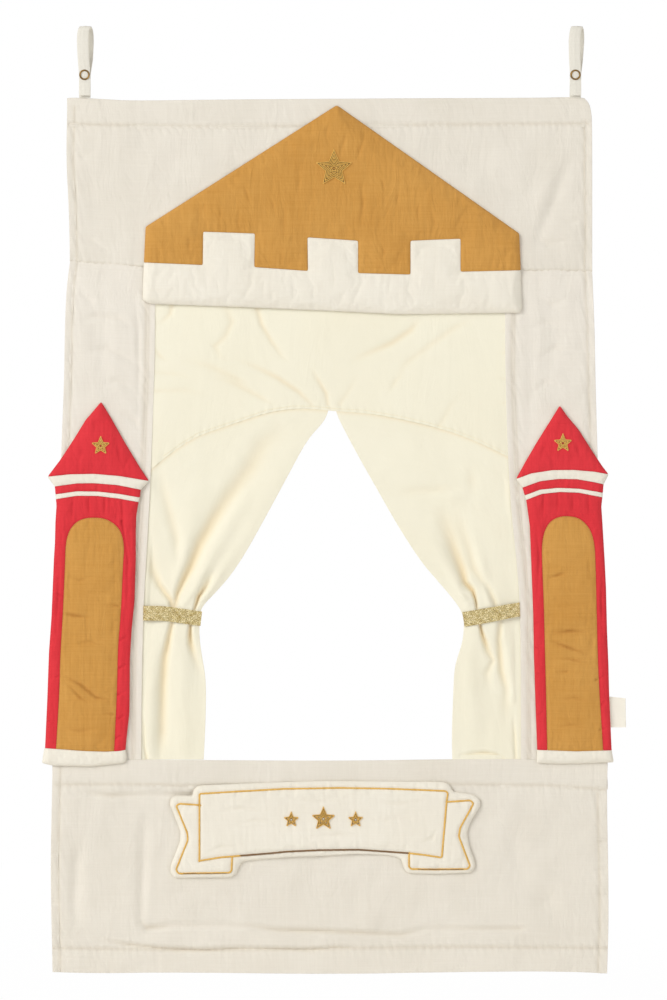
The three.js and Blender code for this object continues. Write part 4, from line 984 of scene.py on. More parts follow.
def padNet(outline, seams, spacing, seed):
    # triangles that follow the outline and every seam
    rim = evenly(outline, spacing, closed=True)
    runs = [evenly(seam, spacing) for seam in seams]
    low, high = rim.min(axis=0), rim.max(axis=0)
    columns = np.arange(low[0], high[0], spacing)
    rows = np.arange(low[1], high[1], spacing * 0.866)
    net = np.array([(x + (row % 2) * spacing / 2, z) for row, z in enumerate(rows) for x in columns])
    net = net + np.random.default_rng(seed).uniform(-0.12, 0.12, net.shape) * spacing
    clear = inside(net, rim)
    for run in [np.vstack((rim, rim[:1]))] + runs:
        clear &= farFrom(net[:, 0], net[:, 1], run) > spacing * 0.55
    points = [rim] + runs + [net[clear]]
    edges = [(k, (k + 1) % len(rim)) for k in range(len(rim))]
    start = len(rim)
    for run in runs:
        edges.extend((start + k, start + k + 1) for k in range(len(run) - 1))
        start += len(run)
    spots = [Vector(point) for point in np.vstack(points)]
    found = delaunay_2d_cdt(spots, edges, [], 1, 1e-5)
    spots, faces = np.array([tuple(spot) for spot in found[0]]), np.array(found[2])
    # a seam that meets the outline can leave a face outside it
    faces = faces[inside(spots[faces].mean(axis=1), rim)]
    used = np.unique(faces)
    renumber = np.full(len(spots), -1)
    renumber[used] = np.arange(len(used))
    spots, faces = spots[used], renumber[faces]
    a, b, c = spots[faces[:, 0]], spots[faces[:, 1]], spots[faces[:, 2]]
    area = (b[:, 0] - a[:, 0]) * (c[:, 1] - a[:, 1]) - (b[:, 1] - a[:, 1]) * (c[:, 0] - a[:, 0])
    faces[area < 0] = faces[area < 0][:, ::-1]     # anticlockwise from the front, so the normals face -Y
    return spots, faces, rim


def swell(points, faces, held, settings):
    # a cloth simulation blows the held fabric up a little, which wrinkles it as a stuffed pad wrinkles
    piece = newPiece("swelling", points, faces, white)
    group = piece.vertex_groups.new(name="held")
    group.add([int(k) for k in np.flatnonzero(held)], 1.0, "REPLACE")
    cloth = piece.modifiers.new("cloth", "CLOTH")
    cloth.collision_settings.use_collision = False
    cloth.settings.effector_weights.gravity = 0
    for label, value in {
            "vertex_group_mass": "held", "use_pressure": True, "uniform_pressure_force": settings["pressure"],
            "shrink_min": -settings["fullness"], "mass": settings["mass"],
            "tension_stiffness": settings["tension"], "compression_stiffness": settings["compression"],
            "bending_stiffness": settings["stiffness"], "quality": settings["quality"]}.items():
        setattr(cloth.settings, label, value)
    scene = bpy.context.scene
    for step in range(settings["steps"]):
        scene.frame_set(step + 1)
    graph = bpy.context.evaluated_depsgraph_get()
    after = np.empty(len(points) * 3)
    piece.evaluated_get(graph).data.vertices.foreach_get("co", after)
    scene.frame_set(1)
    bpy.data.objects.remove(piece)
    move = after.reshape(-1, 3) - points
    far = np.linalg.norm(move, axis=1, keepdims=True)
    return points + move * np.minimum(1, settings["cap"] / np.maximum(far, 1e-9))


def padPiece(name, front, flat, faces, settings, seamPoints, relief, material):
    # one region of a swollen pad as a closed body: its front, walls and flat back
    used = np.unique(faces)
    renumber = {int(old): new for new, old in enumerate(used)}
    local = np.vectorize(renumber.get)(faces)
    count = len(used)
    face = front[used].copy()
    sides = np.vstack((local[:, [0, 1]], local[:, [1, 2]], local[:, [2, 0]]))
    ordered = {tuple(side) for side in sides.tolist()}
    rim = [side for side in ordered if side[::-1] not in ordered]
    centre = {}
    for tri in local:
        middle = face[tri].mean(axis=0)
        for k in tri:
            centre.setdefault(int(k), []).append(middle)
    onSeam = np.array([int(k) in seamPoints for k in used])
    for k in sorted({k for side in rim for k in side}):
        if onSeam[k]:
            pull = np.mean(centre[k], axis=0) - face[k]
            pull[1] = 0
            face[k] += pull / max(np.linalg.norm(pull), 1e-9) * settings["gap"]
    rear = face.copy()
    rear[:, 1] = settings["back"]
    walls = [(b, a, a + count, b + count) for a, b in sorted(rim)]
    shell = [tuple(tri) for tri in local] + [tuple(tri[::-1] + count) for tri in local] + walls
    piece = newPiece(name, np.vstack((face, rear)), shell, material, np.vstack((flat[used], flat[used])))
    mesh = piece.data
    ends = np.empty(len(mesh.edges) * 2, dtype=np.int32)
    mesh.edges.foreach_get("vertices", ends)
    ends = ends.reshape(-1, 2)
    rimEdges = {frozenset(side) for side in rim}
    onRim = np.array([frozenset(pair) in rimEdges for pair in ends.tolist()])
    sewn = np.concatenate((onSeam, np.zeros(count, dtype=bool)))[ends].all(axis=1)
    firm = np.where(onRim, np.where(sewn, settings["seamFirm"], settings["rimFirm"]), 0.0)
    mesh.attributes.new("crease_edge", "FLOAT", "EDGE").data.foreach_set("value", firm.astype(np.float32))
    smoothOnce(piece, 60)
    places = np.empty(len(piece.data.vertices) * 3)
    piece.data.vertices.foreach_get("co", places)
    places = places.reshape(-1, 3)
    raised = np.clip((settings["back"] - places[:, 1]) / settings["edge"] - 0.6, 0, 1)
    dents, paintedShade = relief(places[:, 0], places[:, 2])
    if material is white:
        dents, paintedShade = dents * settings["whiteShare"], paintedShade * settings["whiteShare"]
    places[:, 1] = np.maximum(places[:, 1] + dents * raised, settings["back"] - settings["most"])
    piece.data.vertices.foreach_set("co", places.ravel())
    # the raised front takes the relief's painted shade
    addFoldShade(piece.data, paintedShade * np.minimum(raised, 1))
    piece.data.update()
    return piece


def castlePad(outline, seams, regions, channels, wrinkles, settings, seed):
    # regions: (piece name, closed outline, material); the first region that holds a face takes it
    rimPath = roundedOutline(fromPhoto(outline), settings["corner"])
    seamPaths = [fromPhoto(seam) for seam in seams]
    spots, faces, rim = padNet(rimPath, seamPaths, settings["spacing"], seed)
    closedRim = np.vstack((rim, rim[:1]))
    x, z = spots[:, 0], spots[:, 1]
    edge = farFrom(x, z, closedRim)
    seamGap = np.full(len(spots), np.inf)
    for path in seamPaths:
        seamGap = np.minimum(seamGap, farFrom(x, z, path))
    rise = np.sqrt(np.clip(1 - (1 - np.clip(edge / settings["roll"], 0, 1)) ** 2, 0, 1))
    height = settings["edge"] + (settings["full"] - settings["edge"]) * rise
    height -= settings["seamDent"] * near(seamGap, settings["seamWidth"]) * rise
    points = np.column_stack((x, settings["back"] - height, z))
    onSeam = seamGap < 1e-5
    points = swell(points, faces, (edge < 1e-5) | onSeam, settings)

    def relief(x, z):
        # dents to the back: sewn channels, traced wrinkles, soft unevenness and small puckers beside seams;
        # and painted shade in the channels, the wrinkles and beside the seams
        away = farFrom(x, z, closedRim)
        seamAway = away
        for path in seamPaths:
            seamAway = np.minimum(seamAway, farFrom(x, z, path))
        uneven = settings["uneven"] * (waves(seed, 0.05, 12)(x, z) + 0.4 * waves(seed + 1, 0.018, 16)(x, z))
        pull = waves(seed + 2, 0.010, 14)(x, z * 0.16) + 0.6 * waves(seed + 3, 0.006, 14)(x, z * 0.2)
        nearSeam = 0.4 + 0.6 * near(seamAway, settings["puckerReach"])
        traced = settings["wrinkleDepth"] * creases(x, z, wrinkles)
        quilted = creases(x, z, channels)
        dents = quilted + traced + uneven + nearSeam * settings["pucker"] * pull
        paintedShade = settings["foldShade"] * np.clip((quilted + traced) / settings["deepFold"], 0, 1) ** 2
        paintedShade = np.maximum(paintedShade, settings["seamShade"] * near(seamAway, settings["shadeReach"]))
        fromSeam = 0.25 + 0.75 * smoothStep(seamAway / settings["seamReach"])
        return dents * smoothStep(away / settings["rimReach"]) * fromSeam, paintedShade

    seamPoints = {int(k) for k in np.flatnonzero(onSeam)}
    middles = spots[faces].mean(axis=1)
    free = np.ones(len(faces), dtype=bool)
    pieces = {}
    for name, region, material in regions:
        area = free & inside(middles, fromPhoto(region)) if region is not None else free.copy()
        free &= ~area
        pieces[name] = padPiece(name, points, spots, faces[area], settings, seamPoints, relief, material)
    return pieces, rim


backingSettings = {"front": -0.0019, "back": -0.0011, "inset": 0.004}


def backing(name, rim):
    # the thin cloth behind a pad
    inner = rim - (rim - rim.mean(axis=0)) * backingSettings["inset"]
    count = len(inner)
    x, z = inner[:, 0], inner[:, 1]
    points = np.vstack([np.column_stack((x, np.full(count, backingSettings[face]), z))
                        for face in ("front", "back")])
    area = 0.5 * np.sum(x * np.roll(z, -1) - np.roll(x, -1) * z)
    order = list(range(count)) if area > 0 else list(range(count))[::-1]
    walls = [(order[k - 1], order[k - 1] + count, order[k] + count, order[k]) for k in range(count)]
    piece = newPiece(name, points, [tuple(order), tuple(k + count for k in order[::-1])] + walls, white)
    return bake(piece, sharp=40)


padSettings = {"spacing": 0.0036, "corner": 0.0022, "back": -0.0022, "edge": 0.0009, "roll": 0.014,
               "full": 0.0052, "seamDent": 0.0011, "seamWidth": 0.003, "seamReach": 0.003, "pressure": 3.0,
               "fullness": 0.006, "mass": 0.2, "tension": 12, "compression": 8, "stiffness": 0.8,
               "quality": 5, "steps": 20,
               "cap": 0.002, "uneven": 0.0003, "pucker": 0.00042, "puckerReach": 0.012, "gap": 0.00003,
               "most": 0.0088, "wrinkleDepth": 2.2, "deepFold": 0.0022, "foldShade": 0.42, "seamShade": 0.3,
               "shadeReach": 0.0011, "rimReach": 0.006, "seamFirm": 0.9, "rimFirm": 0.45, "whiteShare": 0.6}

# the roof: a gable over a battlement whose merlons stand in it
roofOutline = [(143.9, 262.7), (145.6, 226.9), (336.9, 105.2), (519.3, 233.6), (520.8, 270.5), (521.7, 309),
               (519.4, 313), (398.9, 314.4), (330, 311), (258, 307.8), (149.5, 304), (142.6, 300)]
battlementTop = [(143.9, 262.7), (202.9, 265.3), (203.3, 232), (254.9, 233.8), (254.3, 267.4), (308, 271.2),
                 (307.5, 237.6), (358, 241), (358, 273.4), (410.4, 274.8), (410.4, 241), (460.4, 239),
                 (460.4, 272), (520.8, 270.5)]
gableRegion = battlementTop + [(560, 232), (336.9, 60), (110, 225)]
roofWrinkles = [
    dent(0.7, 2.5, 347, 129.6, 343, 145, 340, 159), dent(0.7, 2.5, 366, 134.8, 360, 150, 355.8, 164),
    dent(0.5, 3.1, 240, 205, 238, 222, 240, 236), dent(0.6, 3.1, 285, 200, 283, 222, 286, 245),
    dent(0.6, 3.1, 430, 205, 434, 222, 432, 238), dent(0.7, 2.5, 380, 240, 384, 252, 382, 264),
    dent(0.6, 2.5, 280, 250, 282, 258, 281, 268), dent(0.7, 3.1, 228, 250, 229, 275, 226, 296),
    dent(0.7, 3.1, 332, 258, 334, 280, 331, 300), dent(0.7, 3.1, 436, 256, 434, 280, 437, 300),
    dent(0.6, 3.1, 172, 280, 174, 290, 172, 299), dent(0.6, 3.1, 490, 284, 488, 295, 490, 306),
    dent(0.5, 3.1, 300, 160, 299, 182, 296, 200), dent(0.6, 2.5, 190, 236, 189, 246, 190, 258),
    dent(0.7, 2, 329, 122, 327, 130, 326, 139), dent(0.8, 2.5, 362, 182, 363, 206, 360, 232),
    dent(0.7, 2, 242, 182, 247, 194, 252, 208), dent(0.6, 2, 270, 194, 273, 205, 275, 218),
    dent(0.7, 2, 380, 176, 383, 184, 385, 192), dent(0.6, 2, 400, 190, 397, 200, 398, 209),
    dent(0.7, 2, 420, 200, 418, 211, 419, 222), dent(0.6, 2, 465, 219, 462, 228, 463, 238),
    dent(0.6, 2, 205, 200, 204, 207, 205, 214), dent(0.6, 2, 220, 207, 221, 214, 220, 222),
    [(177, 267, 0, 2), (179, 284, 0.7, 2.5), (180, 300, 0, 2)], dent(0.7, 2, 215, 274, 218, 286, 220, 298),
    [(265, 275, 0, 2), (263, 288, 0.6, 2.5), (262, 300, 0, 2)], dent(0.7, 2, 295, 279, 293, 292, 292, 305),
    dent(0.6, 2, 390, 280, 388, 293, 387, 306), dent(0.7, 2, 466, 279, 468, 292, 467, 305)]
roofSettings = dict(padSettings, full=0.0060, most=0.0092, whiteShare=0.36)
roofParts, roofRim = castlePad(roofOutline, [battlementTop],
                               [("roofGable", gableRegion, mustard), ("battlementPad", None, white)],
                               [], roofWrinkles, roofSettings, 81)
roofBacking = backing("roofBacking", roofRim)
print("roof ready")

# towers: each is one quilted pad, pieced from a roof, three bands, a wall with a window, and a base hem
leftTower = {
    "outline": [(101.3, 401.6), (110.8, 417.1), (124.4, 441.3), (140.2, 467.6), (149.2, 481), (140.7, 489.7),
                (140.2, 497.6), (138.6, 502.1), (136.5, 516), (136, 531.8), (136, 560), (134.6, 602.1),
                (131.8, 630.2), (130.1, 658.2), (129.7, 711.5), (125.6, 749.7), (127.2, 756.4),
                (125, 762.8), (91.1, 766.4), (53.2, 765.7), (41.9, 763), (44.1, 749.4), (45.1, 748),
                (47.3, 700.3), (49, 652.6), (51.6, 616), (53.9, 560), (55, 542.3), (55.5, 521.3),
                (56.6, 505.5), (56, 499.2), (55.5, 494.4), (55, 486.5), (47.6, 476.7), (60.8, 459.2),
                (73.9, 439.2), (85.5, 420.3)],
    "roof": [(47.6, 476.7), (69.7, 474.4), (93.9, 473.9), (119.2, 476), (149.2, 481)],
    "eaves": [(55, 486.5), (77.1, 483.4), (93.9, 483.2), (117, 485), (140.7, 489.7)],
    "neck": [(55.5, 494.4), (77.1, 491.3), (98.1, 491.6), (119.2, 493.9), (140.2, 497.6)],
    "thin": [(56, 499.2), (77.1, 495.8), (98.1, 496), (119.2, 498.6), (138.6, 502.1)],
    "hem": [(45.1, 748), (56, 748.7), (84.1, 750.8), (105.2, 751.5), (119.2, 750.8), (125.6, 749.7)],
    "window": [(56.3, 748.7), (60, 686.3), (60.3, 658.2), (63.1, 616.1), (65.5, 560), (66, 542.3),
               (69.7, 529.7), (77.1, 521.3), (85.5, 518.1), (93.9, 517.6), (103.4, 518.1), (112.9, 522.3),
               (120.2, 529.7), (123.4, 539.1), (124.2, 550.7), (123.4, 560), (120.9, 616.1),
               (117.8, 649.8), (117.4, 686.3), (114.3, 750.9)],
    "channels": [(73.4, 497.5), (89.2, 497), (105, 498), (122.3, 500)],
    "wrinkles": [
        [(60, 612, 0, 2.2), (74, 615.5, 1.0, 2.5), (95.3, 617.8, 0, 2.2)],
        [(100.9, 604, 0, 1.9), (119, 606.3, 0.7, 1.9)],
        [(61.7, 674.4, 0, 2.2), (81.3, 684.9, 1.0, 2.2), (96.7, 697.5, 0.9, 2.2), (112.2, 700.3, 0, 1.9)],
        [(101, 711.5, 0, 1.9), (113.6, 714.3, 0.7, 1.9)], [(50.4, 675, 0, 1.6), (60.3, 676.5, 0.7, 1.6)],
        [(117.8, 694.7, 0.7, 1.6), (129, 689.1, 0, 1.6)], [(119.2, 718.5, 0.7, 1.6), (128.3, 712.9, 0, 1.6)],
        dent(0.6, 2.5, 66, 575, 80, 580, 98, 577), dent(0.6, 2.5, 70, 645, 90, 641, 108, 646),
        [(122, 521, 0.8, 1.9), (128, 560, 0.6, 1.9), (127, 620, 0, 1.9)],
        dent(0.7, 1.9, 60, 560, 58, 600, 56, 640), dent(0.6, 2.5, 64, 727, 80, 731, 102, 728),
        dent(0.5, 3.1, 84, 440, 82, 452, 78, 466), dent(0.5, 3.1, 115, 436, 119, 452, 122, 468),
        [(52, 565, 0.6, 1.8), (65, 562, 0, 1.8)], [(52, 592, 0, 1.8), (64, 596, 0.6, 1.8)],
        dent(0.9, 2, 62, 677, 80, 697, 90, 703), [(120, 668, 0.7, 1.8), (131, 662, 0, 1.8)],
        [(121, 640, 0.6, 1.8), (132, 634, 0, 1.8)], [(47, 720, 0.6, 1.8), (59, 724, 0, 1.8)],
        [(116, 738, 0.7, 1.8), (127, 733, 0, 1.8)]]}
rightTower = {
    "outline": [(559.7, 405.4), (567.1, 416), (578.7, 429.7), (591.3, 449.7), (601.8, 465.5), (608.6, 474.4),
                (603.4, 484.4), (602.9, 492.9), (602.3, 497.4), (601.3, 506.5), (602.3, 521.3), (604.6, 560),
                (606, 588.1), (607, 630.2), (608.4, 663.8), (609.1, 693.3), (611.6, 750.1), (613.8, 762.3),
                (589.2, 763), (561.1, 763.9), (536.4, 763), (537, 749.7), (535.2, 700.3), (533.8, 658.2),
                (533.1, 616.1), (531, 560), (529.7, 526.5), (527.6, 510.8), (526, 499.9), (524.5, 495.5),
                (522.4, 487.6), (515.8, 479.1), (525, 462.3), (536.6, 442.4), (552.4, 417.1)],
    "roof": [(515.8, 479.1), (531.3, 473.4), (552.4, 470.2), (573.4, 470), (594.4, 471.8), (608.6, 474.4)],
    "eaves": [(522.4, 487.6), (539.7, 481.3), (557.6, 479), (576.6, 479.2), (594.4, 482.3), (603.4, 484.4)],
    "neck": [(524.5, 495.5), (539.7, 489.7), (557.6, 487.9), (578.7, 488.7), (594.4, 491.3), (602.9, 492.9)],
    "thin": [(526, 499.9), (541.8, 493.9), (559.7, 492), (578.7, 492.7), (602.3, 497.4)],
    "hem": [(537, 749.7), (575.2, 751.1), (611.6, 750.1)],
    "window": [(547.1, 750.2), (545.7, 686.3), (544.6, 644.2), (543.6, 602.1), (541.8, 560), (541.8, 542.3),
               (545, 528.6), (551.3, 520.2), (559.7, 516.5), (568.1, 516), (577.6, 517.6), (585, 522.9),
               (591.3, 531.8), (594.4, 545.5), (595.2, 560), (596.2, 602.1), (597.3, 651.2), (598.7, 686.3),
               (602.9, 750.4)],
    "channels": [(543.4, 494.5), (557.6, 493), (572.3, 493.5), (588.1, 495)],
    "wrinkles": [
        dent(0.9, 2.2, 544.3, 579.6, 558, 575, 571, 571.2),
        dent(1.0, 2.2, 547.1, 634, 570, 631, 593.4, 631.8),
        dent(1.0, 2.2, 545.7, 638.6, 566.7, 647, 594.8, 656.8),
        dent(0.7, 2.2, 551.3, 656.1, 574, 660, 594.8, 665),
        [(552.7, 670.8, 0, 1.9), (566.7, 671.5, 0.6, 1.9)],
        [(533.8, 647.7, 0.7, 1.6), (543.6, 644.9, 0, 1.6)], dent(0.7, 1.9, 604, 560, 601, 600, 603, 640),
        dent(0.7, 1.9, 537, 600, 539, 560, 536, 522), dent(0.6, 2.5, 556, 700, 574, 697, 592, 702),
        dent(0.6, 2.5, 552, 728, 570, 724, 590, 727), dent(0.5, 3.1, 547, 440, 542, 452, 540, 464),
        dent(0.5, 3.1, 573, 436, 578, 450, 582, 462), [(606, 700, 0, 1.9), (601, 705, 0.7, 1.9)],
        [(596, 680, 0.7, 1.8), (608, 674, 0, 1.8)], [(534, 624, 0.6, 1.8), (544, 621, 0, 1.8)],
        [(532, 672, 0.6, 1.8), (545, 676, 0, 1.8)], [(600, 730, 0.7, 1.8), (611, 724, 0, 1.8)],
        [(536, 715, 0.6, 1.8), (547, 711, 0, 1.8)]]}
towerSettings = dict(padSettings, spacing=0.0031, full=0.0050, most=0.0082, roll=0.012, wrinkleDepth=2.8,
                     foldShade=0.5)
quilting = {"lean": (-0.5, 0, 0, 0.5), "run": (25, 19, 19, 23), "depth": 1.5, "width": 1.7}


def tower(side, shape, seed):
    inner, outer = (490, 660) if side == "right" else (20, 170)

    def reaching(line, end):
        # the region between a band's edge and a height beyond the pad
        return [(inner, line[0][1])] + line + [(outer, line[-1][1]), (outer, end), (inner, end)]

    window = [tuple(point) for point in softened(shape["window"])]
    under = [(window[-1][0], 757), (window[0][0], 757)]
    depth, width = quilting["depth"], quilting["width"]
    channels = [[(x, y, depth, width), (x + lean, y + run * 0.6, depth, width), (x + lean, y + run, 0, width)]
                for (x, y), lean, run in zip(shape["channels"], quilting["lean"], quilting["run"])]
    seams = [shape[band] for band in ("roof", "eaves", "neck", "thin", "hem")] + [window]
    regions = [(side + "TowerRoof", reaching(shape["roof"], 360), red),
               (side + "TowerEavesBand", reaching(shape["eaves"], 360), white),
               (side + "TowerNeckBand", reaching(shape["neck"], 360), red),
               (side + "TowerThinBand", reaching(shape["thin"], 360), white),
               (side + "TowerBaseHem", reaching(shape["hem"], 800), white),
               (side + "TowerWindow", window + under, mustard), (side + "TowerWall", None, red)]
    parts, rim = castlePad(shape["outline"], seams, regions, channels, shape["wrinkles"], towerSettings, seed)
    return parts, backing(side + "TowerBacking", rim)


leftParts, leftTowerBacking = tower("left", leftTower, 91)
rightParts, rightTowerBacking = tower("right", rightTower, 101)
print("towers ready")

# the banner: a ribbon shape with stitched outlines and three stars
bannerOutline = [
    (192.2, 795.4), (193.9, 788.9), (198.7, 785.3), (237.6, 783.6), (284.8, 781.8), (328, 780.5),
    (388.9, 781.3), (440.5, 781.5), (447.4, 782.8), (450.9, 786.5), (453.2, 791.8), (469.2, 793.5),
    (477.3, 796.4), (480.7, 801), (479.6, 806.7), (470.4, 821.7), (466.9, 832), (469.2, 845.8),
    (475, 861.8), (475, 867.6), (470.4, 872.7), (434.8, 873.9), (408.4, 873.3), (404.4, 869.9),
    (401.5, 859.5), (395.8, 856.7), (383.1, 854.7), (354.4, 853.8), (320, 856.1), (296.6, 856.7),
    (261.2, 859.1), (242.9, 861.4), (239.4, 865.6), (236.4, 873.8), (230.5, 877.4), (202.2, 877.6),
    (174.5, 878), (170.3, 872.6), (170.9, 864.4), (175.1, 853.8), (180.4, 840.8), (180.4, 831.3),
    (175.1, 817.2), (169.7, 804.2), (170.9, 798.3), (175.1, 795.4), (190.4, 795.6)]
frameTop = [(199.6, 860.3), (199.6, 794.8), (200.4, 793.4), (237.6, 791.2), (284.8, 788.6), (340, 787.7),
            (388.9, 788.4), (445, 790.6), (447.7, 792.6), (446.3, 803.3), (441.7, 857.2), (423.3, 854.4),
            (409.5, 852.9)]
frameBottom = [(409.5, 852.9), (388.9, 851.5), (357.9, 849.4), (320, 849.8), (286, 851.4), (268.3, 853.2),
               (240, 855.4)]
frameCorner = [(240, 855.4), (221.1, 856.9), (199.6, 860.3)]
leftTail = [(200.4, 804.8), (179.6, 803.4), (176.4, 805.6), (187.4, 832.5), (188, 839.6), (176.2, 869.3),
            (178.6, 873.2), (229.3, 872.4), (231.7, 870.3), (232.3, 856.7)]
tailFeet = [[(184, 873.2), (206, 873), (226, 872.6)], [(463, 868.8), (446, 869), (418, 868.9)]]
rightTail = [(446.9, 801.6), (470.4, 800.1), (473.4, 803.3), (460.1, 827.4), (458.7, 836), (469.8, 865.3),
             (467.5, 868.7), (434.8, 869), (411.2, 868.7), (409, 866.4), (409, 852.7)]
bannerDents = [[(x, y, 1.5, 2.6) for x, y in line]
               for line in (frameTop + frameBottom[1:] + frameCorner[1:], leftTail, rightTail)]
bannerWrinkles = [
    dent(0.7, 3.1, 215, 812, 240, 808, 270, 812), dent(0.6, 3.1, 225, 826, 255, 820, 285, 824),
    dent(0.6, 3.1, 300, 838, 340, 834, 380, 838), dent(0.6, 3.7, 360, 800, 400, 804, 430, 800),
    dent(0.5, 3.1, 290, 799, 320, 802, 350, 798), dent(0.5, 3.7, 350, 816, 385, 820, 425, 814),
    dent(0.7, 2.5, 206, 852, 222, 846, 240, 847), dent(0.6, 2.5, 195, 862, 210, 861, 226, 866),
    dent(0.7, 2.5, 420, 843, 432, 838, 437, 826)]
bannerSettings = dict(padSettings, spacing=0.0032, full=0.0040, most=0.0062, roll=0.007, corner=0.003,
                      whiteShare=0.85)
bannerParts, bannerRim = castlePad(bannerOutline, [], [("bannerPad", None, white)], bannerDents,
                                   bannerWrinkles, bannerSettings, 111)
bannerPad = bannerParts["bannerPad"]
bannerBacking = backing("bannerBacking", bannerRim)
onBanner = surfaceOf(bannerPad)
bannerLift = 0.0003
footStitch = dict(cordStitch, Length=0.0026, Thread=0.0006)


def sewnLine(line, corner=0.0025):
    path = fromPhoto(line)
    turned = roundedOutline(path, corner)[3:-3]
    return onSurface(onBanner, np.vstack((path[:1], turned, path[-1:])), bannerLift)


framePaths = [sewnLine(frameTop), sewnLine(frameCorner)]
bannerFrameLine = sew("bannerFrameLine", framePaths, cordStitch, goldThread, 3)
bannerLowerLine = sew("bannerLowerLine", [sewnLine(frameBottom)], cordStitch, brownThread, 4)
leftTailLine = sew("bannerLeftTailLine", [sewnLine(leftTail)], cordStitch, goldThread, 5)
rightTailLine = sew("bannerRightTailLine", [sewnLine(rightTail)], cordStitch, goldThread, 6)
footPaths = [onSurface(onBanner, fromPhoto(line), 2 * bannerLift) for line in tailFeet]
tailFeetLine = sew("bannerTailFeetLine", footPaths, footStitch, brownThread, 7)
print("banner ready")


# embroidered stars: rows of stitches that follow a star's outline inwards, pale gold, with rows of darker
# brown stitches between them as painted shade
starSettings = {"waist": 0.45, "size": 1.04, "rowGap": 0.384, "lift": 0.0006, "length": 0.75,
                "shadeRowLift": 0.0002, "shadeRowLength": 0.26}
starStitch = {"Spacing": 0.0011, "Thread": 0.0006, "Rise": 0.0004, "Lean": 0.1, "Unevenness": 0.05}
shadeRowStitch = {"Spacing": 0.0009, "Thread": 0.0004, "Rise": 0.0001, "Lean": 0.0, "Unevenness": 0.05}
starShadeRows = []


def star(name, node, front, rows, seed):
    given = starSettings
    low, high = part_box(node)
    radius = min(high.x - low.x, high.z - low.z) / 2 * given["size"]
    rowGap = given["rowGap"] * radius / rows

    def outlines(shares, lift):
        paths = []
        for share in shares:
            corners = []
            for k in range(11):
                reach = radius * (1 if k % 2 == 0 else given["waist"]) * share
                angle = math.pi / 2 + k * math.pi / 5
                corners.append(((low.x + high.x) / 2 + reach * math.cos(angle),
                                (low.z + high.z) / 2 + reach * math.sin(angle)))
            paths.append(onSurface(front, np.array(corners), lift))
        return paths

    shares = [1 - step / rows for step in range(rows)]
    # the brown rows between the gold ones are painted shade between the raised rows
    between = [share - 0.5 / rows for share in shares]
    shadeRow = dict(shadeRowStitch, Length=given["shadeRowLength"] * rowGap)
    starShadeRows.append(sew(name + "Ground", outlines(between, given["shadeRowLift"]), shadeRow, brownThread,
                           seed + 20))
    stitch = dict(starStitch, Length=given["length"] * rowGap)
    return sew(name, outlines(shares, given["lift"]), stitch, goldThread, seed)


stars = {node: star(name, node, front, rows, seed) for name, node, front, rows, seed in (
    ("roofStar", "roof_emblem", surfaceOf(roofParts["roofGable"]), 5, 11),
    ("leftTowerStar", "left_tower_emblem", surfaceOf(leftParts["leftTowerRoof"]), 3, 12),
    ("rightTowerStar", "right_tower_emblem", surfaceOf(rightParts["rightTowerRoof"]), 3, 13),
    ("bannerLeftStar", "banner_left_star", onBanner, 2, 14),
    ("bannerCentreStar", "banner_centre_star", onBanner, 3, 15),
    ("bannerRightStar", "banner_right_star", onBanner, 2, 16))}
print("embroidery ready")


# tie-backs: glitter ribbon in front of and behind each gather
ribbonSettings = {"thickness": 0.0007, "bulge": 0.0044, "flat": 0.0009, "edge": 0.0008, "spacing": 0.002,
                  "wave": 0.0005, "waveSize": 0.022}
ribbonEdges = {
    "left": ([(143.5, 605.7), (160, 605.9), (168, 606.4), (185, 609), (202, 611.6)],
             [(143.2, 620.6), (158, 620.5), (166.5, 621), (184, 623.6), (200.3, 625.9)]),
    "right": ([(462.3, 612.2), (480, 609), (496.1, 606.4), (510, 603.8), (519.5, 602.4)],
              [(464.7, 626.7), (480, 624), (496.1, 621), (510, 618), (520, 616.4)])}


def ribbon(side, face, seed):
    given = ribbonSettings
    top, bottom = (softened(fromPhoto(line)) for line in ribbonEdges[side])
    ends = [np.stack((top[end], bottom[end])) for end in (0, -1)]
    grid = patch(top, bottom, *ends, given["spacing"])
    x, z = grid[..., 0], grid[..., 2]
    share = np.linspace(0, 1, grid.shape[1])[None, :] * np.ones((grid.shape[0], 1))
    if side == "right":
        share = 1 - share
    bulge = np.sin(math.pi * np.clip(share, 0, 1) ** 0.8) ** 0.5 * (given["bulge"] - given["flat"])
    wave = given["wave"] * waves(seed, given["waveSize"])(x, z) * np.sin(math.pi * share)
    grid[..., 1] = (-1 if face == "Front" else 1) * (given["edge"] + bulge + wave)
    return gridPiece(side + "Tieback" + face, grid, glitter, given["thickness"])


leftTiebackFront, leftTiebackBack = ribbon("left", "Front", 121), ribbon("left", "Back", 122)
rightTiebackFront, rightTiebackBack = ribbon("right", "Front", 123), ribbon("right", "Back", 124)
print("tie-backs ready")


# hanging loops: a folded canvas strap over the hanging line, its front leg snapped to its back leg
loopSettings = {"width": 0.0152, "thickness": 0.0016, "spacing": 0.0018, "columns": 13, "foldMark": 0.0004,
                "foldMarkWidth": 0.06, "curl": 0.0005}
# each leg from the side: (y, z)
backLeg = [(0.0, -0.0972), (0.0, -0.078), (0.0, -0.064), (0.0004, -0.0575), (0.0030, -0.049),
           (0.0060, -0.0375), (0.0076, -0.022), (0.0074, -0.010), (0.0062, -0.003), (0.0034, 0.0002),
           (0.0, 0.0004)]
frontLeg = [(0.0, 0.0004), (-0.0034, 0.0002), (-0.0062, -0.003), (-0.0076, -0.010), (-0.0080, -0.022),
            (-0.0076, -0.0330), (-0.0064, -0.046), (-0.0048, -0.056), (-0.0042, -0.066), (-0.0040, -0.078),
            (-0.0044, -0.0942)]
